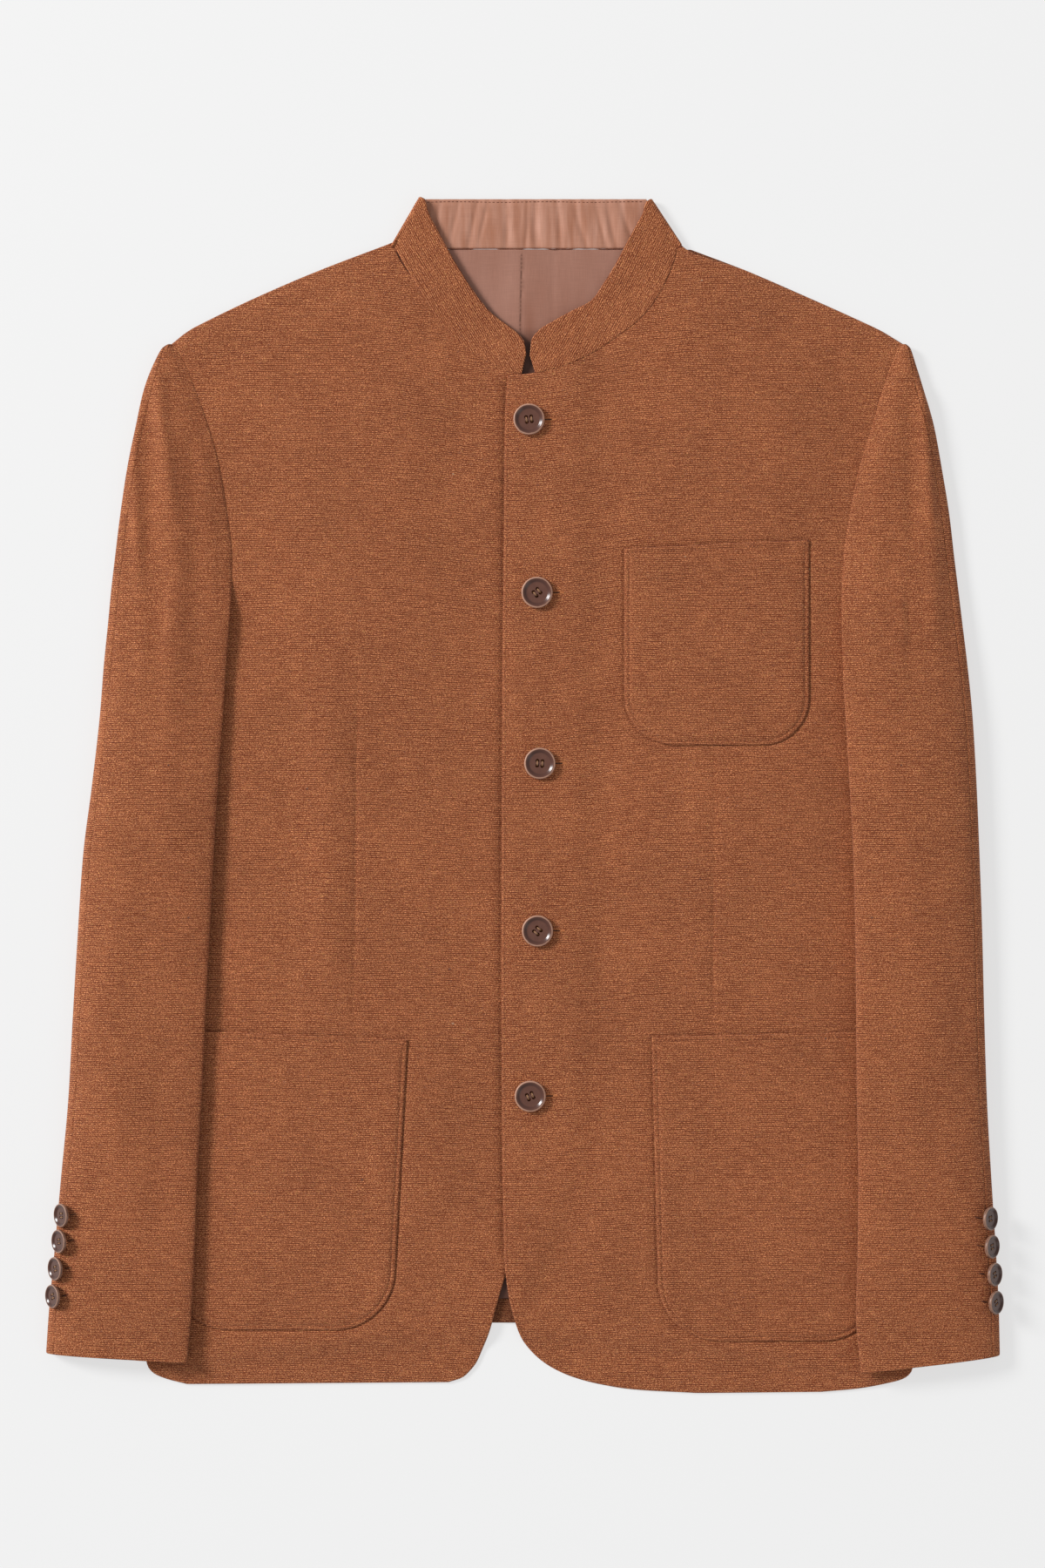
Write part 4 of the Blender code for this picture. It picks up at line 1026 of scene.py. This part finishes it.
def ring_weave(points, start):
    """Weave coordinates of rows of ring points: along the ring, and down the sleeve."""
    steps = np.linalg.norm(np.diff(points, axis=1), axis=2)
    along = np.concatenate([np.zeros((len(points), 1)), np.cumsum(steps, 1)], 1)
    return np.stack([along + start, points[:, :, 1]], -1)


def cuff_round(points):
    """Turns the last rows of a sleeve inwards a little, for a soft cuff edge."""
    centre = points[-1].mean(0)
    for row, pull in ((-1, 0.55), (-2, 0.2), (-3, 0.06)):
        way = centre - points[row]
        way[:, 1] = 0
        size = np.linalg.norm(way, axis=1, keepdims=True)
        points[row] += way / np.maximum(size, 1e-6) * pull
    return points


def make_sleeve(side, table):
    rows = sleeve_rows(table)
    width = np.abs(rows[:, 2] - rows[:, 0])[:, None]
    inward = 1 if table[0, 2] > table[0, 0] else -1
    closed = rows[:, 5:6] > 0.5
    seam = -1 + 2 * np.minimum(HIND_SEAM_INSET / width, 0.22)
    k = np.linspace(0, 1, 44)[None]
    first = np.arcsin(seam)
    top_shares = np.sin(first + (math.pi / 2 - first) * k)
    ends = np.array([0.0, 0.25, 0.6, 1.2])[None] * 2 / width
    top_shares = np.concatenate([seam + ends, top_shares[:, 3:]], 1)
    top_shares = np.sort(np.minimum(top_shares, 1.0), axis=1)
    top = sleeve_points(side, rows, top_shares, True)
    laid = ARMHOLE_LAP * ease((rows[:, 1:2] - 20) / 110) * ease((top_shares - 0.8) / 0.2)
    top[:, :, 0] += inward * laid
    lip = np.array([0.22, 0.12, 0.04, 0.0]) * ease((170 - rows[:, 1:2]) / 80)
    top[:, :4, 2] -= lip
    end = 1 - 2 * UNDER_SEAM_INSET / width
    under_k = np.array([0.015, 0.05, 0.12, 0.25, 0.4, 0.6, 0.8, 1.0])[None]
    turned = sleeve_points(side, rows, 1 + (end - 1) * under_k, False)
    below = np.repeat(top[:, -1:], len(under_k[0]), axis=1)
    drop = np.linspace(0.15, 1.3, len(under_k[0]))[None]
    below[:, :, 0] -= 0.1 * inward * drop
    below[:, :, 2] -= drop
    turned = np.where(closed[:, :, None], turned, below)
    points = cuff_round(np.concatenate([top, turned], 1))
    flip = side == "right"
    name = f"sleeve_top_{side}"
    piece = grid_sheet(name, points, ring_weave(points, 0), CLOTH, SLEEVE_WALL, flip)
    give(piece, name)

    gap = 2 * GAP / width
    start = np.where(closed, 1 - 2 * (UNDER_SEAM_INSET + GAP) / width, 1 - gap * 2)
    under_shares = between(start, -0.86, np.linspace(0, 1, 34)[None])
    curl = np.array([-0.9, -0.93, -0.955, -0.975, -0.988, -0.996, -1.0])[None]
    under_shares = np.concatenate([under_shares, np.repeat(curl, len(rows), 0)], 1)
    lower = sleeve_points(side, rows, under_shares, False)
    last = seam + 2 * UNDER_TUCK / width
    rise = np.repeat(np.array([-0.996, -0.988, -0.97])[None], len(rows), 0)
    over = between(-0.965, last, np.linspace(0.2, 1, 6)[None])
    up_shares = np.concatenate([np.minimum(rise, last - 0.002), over], 1)
    up_shares = np.maximum.accumulate(np.minimum(up_shares, last), axis=1)
    upper = sleeve_points(side, rows, up_shares, True)
    past_seam = (up_shares - seam) * width / 2
    upper[:, :, 2] -= 0.05 + 0.9 * ease((past_seam + 0.6) / 1.2)
    points = cuff_round(np.concatenate([lower, upper], 1))
    name = f"sleeve_under_{side}"
    piece = grid_sheet(name, points, ring_weave(points, UNDER_WEAVE), CLOTH, SLEEVE_WALL, flip)
    give(piece, name)


make_sleeve("right", SLEEVE_RIGHT)
make_sleeve("left", SLEEVE_LEFT)

# Pockets


def make_pocket(pocket):
    left_side = pocket.name != "pocket_hip_right"
    rise = POCKET_GAP + POCKET_WALL
    outline = pocket_outline(pocket)

    def height(x, y, distance):
        across = (x - pocket.left) / (pocket.right - pocket.left)
        mouth_y = between(pocket.top_left, pocket.top_right, across)
        z = front_top(x, y, left_side) + rise
        z = z + creased(x, y, BODY_CREASES) * between(1.0, 0.55, ease((distance - 3) / 20))
        from_mouth = mouth_y - y
        z = z + 0.18 * ripple(x * 1.2, y * 1.1, 4.0) * ease((distance - 4) / 18)
        z = z + np.where(from_mouth < 6, 0, stitched(distance, POCKET_STITCH_INSET, 0.48))
        z = z - POCKET_SINK * ease((from_mouth - 1) / 5) * (1 - ease(distance / 7)) - 0.25
        z = z - 0.16 * bell(from_mouth - POCKET_HEM, 0.9) * ease(distance / 4)
        return z - rounded(distance, 1.0)

    def weave(x, y):
        return plain_weave(x + 11, y * 1.003 + POCKET_WEAVE[pocket.name])

    hem = [(pocket.left + 4, pocket.top_left - POCKET_HEM), (pocket.right - 4, pocket.top_right - POCKET_HEM)]
    piece = plan_sheet(
        pocket.name, outline, height, weave, CLOTH, POCKET_WALL, spacing=4.5,
        rings=POCKET_RINGS, lines=[strip_points(hem, POCKET_HEM_ROWS)],
    )
    return give(piece, pocket.name)


make_pocket(POCKETS[0])
make_pocket(POCKETS[1])
make_pocket(POCKETS[2])

# Collar

COLLAR_LOW = COLLAR_WALL / 2
COLLAR_SEAM_Z = 5.6
COLLAR_EDGE_Z = 6.9
COLLAR_INSET = -0.5
COLLAR_EASING = 14.0
COLLAR_ON_FRONT = 0.35
COLLAR_LINING_LOW = (-76.0, 92.0)
COLLAR_LINING_HIGH = (-62.6, 78.6)
COLLAR_LINING_TOP = 379.4
COLLAR_LINING_HEIGHT = 31
COLLAR_LEAN = (-60.0, 62.0)

# Wrinkles of the collar's lining: x, depth and half width
COLLAR_WRINKLES = [
    (-60, 0.5, 2.4), (-48, 0.35, 1.8), (-35.5, 0.6, 2.2), (-27, 0.35, 1.6), (-11.5, 0.75, 2.6),
    (0.5, 0.35, 1.6), (9.5, 0.8, 2.8), (24.5, 0.6, 2.2), (40.0, 0.55, 2.2), (52.5, 0.45, 1.8),
    (60.0, 0.5, 2.0), (72.0, 0.5, 2.2),
]


def collar_half(table, count):
    """Seam and edge points of the middle of a front half of the collar, from tip to fold."""
    middle = table.reshape(-1, 2, 2).mean(1)
    lengths = lengths_along(middle)
    at = lengths[-1] * np.linspace(0, 1, count) ** 1.25
    xy = np.stack([smooth(at, lengths, table[:, k]) for k in range(4)], 1)
    seam = np.column_stack([xy[:, :2], np.full(count, COLLAR_SEAM_Z)])
    edge = np.column_stack([xy[:, 2:], np.full(count, COLLAR_EDGE_Z)])
    way = edge - seam
    seam = seam + way / np.linalg.norm(way, axis=1, keepdims=True) * COLLAR_INSET
    return seam, edge


def collar_turn(seam, edge, steps):
    """The turn at the side of the neck, down to the back half."""
    along = (edge - seam) / np.linalg.norm(edge - seam)
    out = np.array((-along[1], along[0], 0.0))
    out /= np.linalg.norm(out)
    if out[0] * seam[0] < 0:
        out = -out
    rows = []
    for angle in np.linspace(0, math.pi, steps + 1):
        pair = []
        for point in (seam, edge):
            radius = (point[2] - COLLAR_LOW) / 2
            middle = np.array((point[0], point[1], COLLAR_LOW + radius)) - out * (radius + COLLAR_WALL / 2)
            pair.append(middle + out * radius * math.sin(angle) + np.array((0, 0, radius * math.cos(angle))))
        pair[0][1] = max(pair[0][1], between(pair[0][1], BACK_NECK_Y + GAP, ease(2 * angle / math.pi - 0.6)))
        rows.append(pair)
    return np.array([r[0] for r in rows]), np.array([r[1] for r in rows])


def make_collar(columns=22):
    halves = []
    for table in (COLLAR_RIGHT, COLLAR_LEFT):
        seam, edge = collar_half(table, 90)
        turned = collar_turn(seam[-1], edge[-1], 14)
        for run, start in ((seam, turned[0][0]), (edge, turned[1][0])):
            left = np.linalg.norm(run - run[-1], axis=1)[:, None]
            run += (start - run[-1]) * (1 - ease(left / COLLAR_EASING))
        halves.append((np.vstack([seam[:-1], turned[0]]), np.vstack([edge[:-1], turned[1]])))
    (seam_r, edge_r), (seam_l, edge_l) = halves
    share = np.linspace(0, 1, 42)[1:-1, None]
    seam = np.vstack([seam_r, between(seam_r[-1], seam_l[-1], share), seam_l[::-1]])
    edge = np.vstack([edge_r, between(edge_r[-1], edge_l[-1], share), edge_l[::-1]])
    low_rows = (0, 0.012, 0.03, 0.055)
    high_rows = (0.895, 0.92, 0.945, 0.965, 0.985, 1.0)
    k = np.concatenate([low_rows, np.linspace(0.09, 0.86, columns - 10), high_rows])
    points = seam[:, None] + (edge - seam)[:, None] * k[None, :, None]
    steps = np.linalg.norm(np.diff(points[:, 5], axis=0), axis=1)
    along = np.concatenate([[0], np.cumsum(steps)])
    width = np.linalg.norm(edge - seam, axis=1)[:, None]
    over = np.gradient(points, axis=0)
    across = np.gradient(points, axis=1)
    normal = np.cross(over, across)
    normal /= np.maximum(np.linalg.norm(normal, axis=2, keepdims=True), 1e-9)
    if normal[40, 10, 2] < 0:
        normal = -normal
    from_edge = (1 - k)[None] * width
    from_seam = k[None] * width
    from_tip = np.minimum(along, along[-1] - along)[:, None]
    shape = -rounded(from_edge, 1.0) - 0.7 * rounded(from_seam, 0.8) - rounded(from_tip, 1.0)
    shape += 0.5 * stitched(from_edge, 2.4, 0.22) + 0.12 * np.sin(along / 9.0)[:, None] * k[None]
    points = points + normal * (shape + COLLAR_WALL / 2)[:, :, None]
    facing = ease((points[:, :1, 2] - 5.2) / 0.8)
    front = front_top(points[:, 0, 0], points[:, 0, 1], points[:, 0, 0] > 3)[:, None]
    points[:, :, 2] += (front + COLLAR_ON_FRONT - points[:, 3:4, 2]) * facing * (1 - ease(k / 0.55))[None]
    lean = np.radians(np.where(np.arange(len(points)) < len(points) / 2, *COLLAR_LEAN))[:, None]
    flat_x, flat_y = points[:, :, 0], points[:, :, 1]
    leant_x = flat_x * np.cos(lean) + flat_y * np.sin(lean)
    leant_y = flat_y * np.cos(lean) - flat_x * np.sin(lean)
    behind = points[:, :1, 2] < 3.0
    weave = np.stack([leant_x, leant_y + COLLAR_WEAVE], -1)
    weave = np.where(behind[..., None], np.stack([flat_x, flat_y + COLLAR_WEAVE], -1), weave)
    piece = grid_sheet("collar", points, weave, CLOTH, COLLAR_WALL)
    return give(piece, "collar")


make_collar()


def make_collar_lining():
    """The lining inside the back of the collar, with its upright wrinkles."""
    u = np.linspace(*COLLAR_LINING_LOW, 220)
    share = (u - u[0]) / (u[-1] - u[0])
    rows = []
    for level in np.linspace(0, 1, 34):
        x = between(u, between(*COLLAR_LINING_HIGH, share), level)
        y = np.full_like(x, between(BACK_NECK_Y + GAP, COLLAR_LINING_TOP, level))
        z = np.full_like(x, ON_BACK + LINING_WALL + 0.42)
        z += 0.10 * np.sin(x / 1.9 + 1.5 * np.sin(x / 11) + level) * math.sin(math.pi * level)
        for centre, depth, width in COLLAR_WRINKLES:
            drift = centre + 2.2 * level * math.sin(centre * 1.7) + 1.2 * math.sin(3 * level + centre)
            hold = 0.5 + 0.5 * math.sin(math.pi * min(max(level * 1.25 + 0.1 * math.sin(centre), 0.05), 1))
            z -= 1.3 * depth * hold * bell(u - drift, width)
            z += 0.3 * depth * hold * bell(u - drift - 2.6 * width, 1.3 * width)
        from_top = (1 - level) * COLLAR_LINING_HEIGHT
        from_edge = min(from_top, level * COLLAR_LINING_HEIGHT)
        z += stitched(np.array([from_top]), 2.0, 0.25) - rounded(np.array([from_edge]), 0.5)
        rows.append(np.stack([x, y, z], 1))
    points = np.array(rows)
    piece = grid_sheet("collar_lining", points, points[:, :, :2].copy(), COLLAR_LINING, LINING_WALL)
    return give(piece, "collar_lining")


make_collar_lining()

# Buttons


def lathe(profile, steps):
    """Rings of a turned form round Z, as vertices and faces."""
    verts, faces = [], []
    for r, z in profile:
        for k in range(steps):
            angle = 2 * math.pi * k / steps
            verts.append((r * math.cos(angle), r * math.sin(angle), z))
    for ring in range(len(profile) - 1):
        a, b = ring * steps, (ring + 1) * steps
        for k in range(steps):
            faces.append((a + k, b + k, b + (k + 1) % steps, a + (k + 1) % steps))
    return verts, faces


def button_mesh(name, radius, thick, steps):
    """A turned four-hole button with a round rim and a sunk dish."""
    profile = [
        (0.12, 0.60), (0.3, 0.60), (0.5, 0.605), (0.62, 0.61), (0.67, 0.63), (0.72, 0.70), (0.78, 0.83),
        (0.84, 0.93), (0.89, 0.99), (0.93, 1.0), (0.965, 0.95), (0.99, 0.82), (1.0, 0.62), (0.985, 0.42),
        (0.93, 0.2), (0.82, 0.04), (0.7, 0.0), (0.4, 0.0), (0.12, 0.0),
    ]
    verts, faces = lathe([(r * radius, z * thick) for r, z in profile], steps)
    count = len(verts)
    faces.append(tuple(range(steps))[::-1])
    faces.append(tuple(range(count - steps, count)))
    mesh = bpy.data.meshes.new(name)
    mesh.from_pydata([Vector(v) * MM for v in verts], [], faces)
    body = link(name, mesh, BUTTON)
    if mesh.polygons[2].normal.z < 0:
        mesh.flip_normals()
    reach = THREAD_HOLE_REACH * math.sqrt(2) * radius
    drills = []
    for k in range(4):
        angle = math.pi / 4 + k * math.pi / 2
        bpy.ops.mesh.primitive_cylinder_add(
            vertices=20, radius=THREAD_HOLE_RADIUS * radius * MM, depth=thick * 3 * MM,
            location=(reach * math.cos(angle) * MM, reach * math.sin(angle) * MM, 0.0),
        )
        drill = bpy.context.object
        cut = body.modifiers.new("hole", "BOOLEAN")
        cut.operation = "DIFFERENCE"
        cut.object = drill
        drills.append(drill)
    graph = bpy.context.evaluated_depsgraph_get()
    done = bpy.data.meshes.new_from_object(body.evaluated_get(graph))
    for drill in drills:
        bpy.data.objects.remove(drill)
    bpy.data.objects.remove(body)
    done.materials.clear()
    done.materials.append(BUTTON)
    done.shade_smooth()
    done.set_sharp_from_angle(angle=math.radians(50))
    layer = done.uv_layers.new(name="weave")
    for loop in done.loops:
        place = done.vertices[loop.vertex_index].co
        share = math.hypot(place.x, place.y) / (radius * MM)
        layer.data[loop.index].uv = (share, place.z / (thick * MM))
    return done


def tube(path, radius, sides=6):
    """Vertices and faces of a thin round tube along a path."""
    path = [Vector(p) for p in path]
    verts, faces = [], []
    for k, point in enumerate(path):
        way = (path[min(k + 1, len(path) - 1)] - path[max(k - 1, 0)]).normalized()
        side = way.cross(Vector((0.31, 0.17, 0.93))).normalized()
        up = way.cross(side)
        size = radius * (0.55 if k in (0, len(path) - 1) else 1.0)
        for j in range(sides):
            angle = 2 * math.pi * j / sides
            verts.append(point + (side * math.cos(angle) + up * math.sin(angle)) * size)
    for k in range(len(path) - 1):
        for j in range(sides):
            a, b = k * sides + j, k * sides + (j + 1) % sides
            faces.append((a, b, b + sides, a + sides))
    faces.append(tuple(range(sides))[::-1])
    faces.append(tuple(range(len(verts) - sides, len(verts))))
    return verts, faces


def joined(name, parts, material):
    """One piece from many small meshes, riding on the root."""
    verts, faces = [], []
    for some, around in parts:
        start = len(verts)
        verts += [Vector(v) * MM for v in some]
        faces += [tuple(start + k for k in face) for face in around]
    mesh = bpy.data.meshes.new(name)
    mesh.from_pydata(verts, [], faces)
    mesh.shade_smooth()
    return give(link(name, mesh, material))


def button_threads(radius, thick):
    """Two loops of thread through a button's four holes, in its own frame."""
    reach = THREAD_HOLE_REACH * radius
    level = 0.60 * thick
    parts = []
    for x in (-reach, reach):
        for shift in (-0.22, 0.22):
            s = shift * radius / 10
            over = ((1, -1, -1.1), (1, -0.8, 0.12), (1.3, 0, 0.42), (1, 0.8, 0.12), (1, 1, -1.1))
            path = [(x + s * wide, reach * y, level + up) for wide, y, up in over]
            parts.append(tube(path, 0.24 * radius / 10, 6))
    return parts


def place(parts, matrix):
    return [([matrix @ Vector(v) for v in verts], faces) for verts, faces in parts]


def add_button(name, mesh, material, matrix):
    piece = link(name + "_look", mesh.copy(), material)
    piece.data.transform(Matrix.Scale(MM, 4) @ matrix @ Matrix.Scale(1 / MM, 4))
    give(piece, name)


def make_buttons():
    threads = []
    big = button_mesh("front_button", *FRONT_BUTTON)
    for number, spot in enumerate(FRONT_BUTTONS, 1):
        xs = np.array([spot.x - 9, spot.x, spot.x + 9])
        top = float(front_top(xs, np.full(3, spot.y), True).max())
        turn = Matrix.Rotation(math.radians(spot.turn), 4, "Z")
        matrix = Matrix.Translation((spot.x, spot.y, top + GAP)) @ turn
        add_button(f"button_front_{number}", big, BUTTON, matrix)
        threads += place(button_threads(*FRONT_BUTTON[:2]), matrix)
    small = button_mesh("cuff_button", *SMALL_BUTTON)
    for side, table in (("right", SLEEVE_RIGHT), ("left", SLEEVE_LEFT)):
        outward = -1 if side == "right" else 1
        tilt = math.radians(CUFF_BUTTON_TILT)
        normal = Vector((outward * math.sin(tilt), 0.0, math.cos(tilt)))
        order = np.argsort(table[:, 1])
        for number, y in enumerate(CUFF_BUTTON_LEVELS[side], 1):
            row = np.array([[np.interp(y, table[order, 1], table[order, k]) for k in range(6)]])
            shares = -1 + 0.02 * np.arange(1, 20)[None]
            ring = sleeve_points(side, row, shares, True)[0]
            best = int(np.argmax(ring @ np.array(normal)))
            base = Vector(ring[best]) + normal * (GAP + 0.15)
            base.y = y
            base -= Vector((outward * math.cos(tilt), 0.0, -math.sin(tilt))) * CUFF_BUTTON_UP
            turn = Vector((0, 0, 1)).rotation_difference(normal).to_matrix().to_4x4()
            matrix = Matrix.Translation(base) @ turn @ Matrix.Rotation(math.radians(90 + 6 * number), 4, "Z")
            add_button(f"button_cuff_{side}_{number}", small, CUFF_BUTTON_SHADED, matrix)
            threads += place(button_threads(*SMALL_BUTTON[:2]), matrix)
    joined("button_threads", threads, BUTTON_THREAD)


make_buttons()

# Sewing


def surface(*pieces):
    """The height of the highest of some pieces under a point seen from above."""
    trees = []
    for piece in pieces:
        mesh = piece.data
        corners = [v.co / MM for v in mesh.vertices]
        trees.append(BVHTree.FromPolygons(corners, [tuple(f.vertices) for f in mesh.polygons]))

    def at(x, y):
        hits = [tree.ray_cast(Vector((x, y, 60)), Vector((0, 0, -1)))[0] for tree in trees]
        found = [hit.z for hit in hits if hit]
        return max(found) if found else None

    return at


def stitch_row(path, at, length, space, radius, rise):
    """A row of short stitches along a path, each dipping into the cloth at its ends."""
    run = smooth_run(path, 0.4)
    along = lengths_along(run)
    parts = []
    for number, start in enumerate(np.arange(space, along[-1] - length, length + space)):
        reach = length * (1 + 0.12 * math.sin(number * 2.7))
        points = []
        for share, up in ((0.0, -0.3), (0.22, rise), (0.78, rise), (1.0, -0.3)):
            x, y = (float(np.interp(start + share * reach, along, run[:, k])) for k in (0, 1))
            z = at(x, y)
            if z is not None:
                points.append((x, y, z + up))
        if len(points) == 4:
            parts.append(tube(points, radius, 4))
    return parts


def inset_path(outline, inset):
    """An outline moved inwards by a distance."""
    return outline + inward(outline) * inset


def make_stitches():
    front = surface(CLOTH_NODES["front_left"])
    edge = FRONT_LEFT[3:26, 0:2][::-1].copy()
    edge[:, 0] += PICK_INSET
    parts = stitch_row(edge, front, 1.5, 1.7, 0.17, 0.02)
    for pocket in POCKETS:
        outline = inset_path(pocket_outline(pocket), POCKET_STITCH_INSET)
        mouth = np.interp(outline[:, 0], (pocket.left, pocket.right), (pocket.top_left, pocket.top_right))
        kept = outline[:, 1] < mouth - 1.5
        start = int(np.argmax(kept & ~np.roll(kept, 1)))
        run = np.roll(outline, -start, axis=0)[:int(kept.sum())]
        parts += stitch_row(run, surface(CLOTH_NODES[pocket.name]), 1.6, 0.9, 0.17, 0.03)
    joined("edge_stitches", parts, THREAD)
    lining = surface(CLOTH_NODES["collar_lining"])
    top = [(x, COLLAR_STITCH_Y + 0.25 * math.sin(x / 9)) for x in range(-62, 79, 4)]
    parts = stitch_row(top, lining, 1.9, 0.7, 0.2, 0.1)
    joined("collar_stitches", parts, SEAM_THREAD)
    sway = [(x, 0.22 * math.sin(x / 5.0) + 0.12 * math.sin(x / 1.7)) for x in range(-72, 90)]
    seam = [(x, NECK_SEAM_Y + y, NECK_SEAM_Z) for x, y in sway]
    joined("neck_seam", [tube(seam, 0.24, 8)], SEAM_THREAD)


def make_buttonholes():
    """The end of each front buttonhole, sewn round, beside its button, and the cuffs' short ones, with
    painted shade along their slits.
    """
    front = surface(CLOTH_NODES["front_left"])
    bound, slit = [], []
    for number, spot in enumerate(FRONT_BUTTONS):
        start, end = spot.x + HOLE_START, spot.x + HOLE_END
        for k in range(int((end - start) / HOLE_PITCH)):
            x = start + HOLE_PITCH * k
            wobble = 0.16 * math.sin(3.1 * k + number)
            for side in (-1, 1):
                ys = (spot.y + side * 0.38, spot.y + side * 0.85, spot.y + side * (1.45 + wobble))
                parts = [(x + 0.1 * wobble, y, front(x, y) + up) for y, up in zip(ys, (0.05, 0.24, -0.2))]
                bound.append(tube(parts, 0.27, 5))
        for k in range(7):
            x = end - 0.2 + 0.42 * k
            reach = 1.35 - 0.13 * k + 0.1 * math.sin(5 * k + number)
            dips = ((-1, -0.2), (0, 0.26), (1, -0.2))
            parts = [(x, spot.y + y * reach, front(x, spot.y) + up) for y, up in dips]
            bound.append(tube(parts, 0.25, 5))
        # A near-black tube along the slit: painted shade in the cut
        xs = np.arange(start, end + 0.3, 0.8)
        path = [(x, spot.y + 0.08 * math.sin(x * 2), front(x, spot.y) + 0.12) for x in xs]
        slit.append(tube(path, 0.30, 6))
    joined("buttonholes", bound, BOUND_THREAD)
    for side, outward in (("right", -1), ("left", 1)):
        sleeve = surface(CLOTH_NODES["sleeve_top_" + side])
        for number, y in enumerate(CUFF_BUTTON_LEVELS[side], 1):
            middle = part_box(f"button_cuff_{side}_{number}")
            inner = (middle[0][0] if outward > 0 else middle[1][0]) / MM
            xs = [inner - outward * d for d in (0.2, 1.4, 2.8, 4.4)]
            path = [(x, y + 0.3 * k, sleeve(x, y)) for k, x in enumerate(xs)]
            # The cuff's slit is a near-black tube: painted shade in the cut
            slit.append(tube([(x, y, z + 0.16) for x, y, z in path if z is not None], 0.33, 6))
    joined("buttonhole_slits", slit, SLIT_SHADE)


make_stitches()
make_buttonholes()

# Camera, floor and light


def make_stage():
    corners = [(x * FLOOR_HALF, y * FLOOR_HALF, FLOOR_Z) for x, y in ((-1, -1), (1, -1), (1, 1), (-1, 1))]
    mesh = bpy.data.meshes.new("floor")
    mesh.from_pydata(corners, [], [(0, 1, 2, 3)])
    floor = bpy.data.objects.new("floor", mesh)
    bpy.context.scene.collection.objects.link(floor)
    n = Nodes("floor")
    n.set(n.shader, "Emission_Color", (1.0, 1.0, 1.0, 1.0))
    n.set(n.shader, "Emission_Strength", FLOOR_GLOW)
    floor.data.materials.append(n.finish((FLOOR, FLOOR, FLOOR, 1.0), 0.95, Specular_IOR_Level=0.1))
    world = bpy.data.worlds.new("studio")
    bpy.context.scene.world = world
    world.use_nodes = True
    sky = world.node_tree.nodes["Background"]
    sky.inputs[0].default_value = (1.0, 1.0, 1.0, 1.0)
    sky.inputs[1].default_value = SKY
    for name, place, size, power in LAMPS:
        lamp = bpy.data.lights.new(name, "AREA")
        lamp.shape = "DISK"
        lamp.size = size
        lamp.energy = power
        light = bpy.data.objects.new(name, lamp)
        light.location = place
        light.rotation_euler = (Vector((0, 0, 0)) - Vector(place)).to_track_quat("-Z", "Y").to_euler()
        bpy.context.scene.collection.objects.link(light)


def make_camera():
    data = bpy.data.cameras.new("camera")
    data.lens = LENS
    data.sensor_width = SENSOR
    data.clip_end = 20.0
    camera = bpy.data.objects.new("camera", data)
    camera.location = (AIM_X, AIM_Y, LENS / SENSOR)
    bpy.context.scene.collection.objects.link(camera)
    bpy.context.scene.camera = camera


make_stage()
make_camera()
bpy.context.scene.view_settings.view_transform = "Standard"
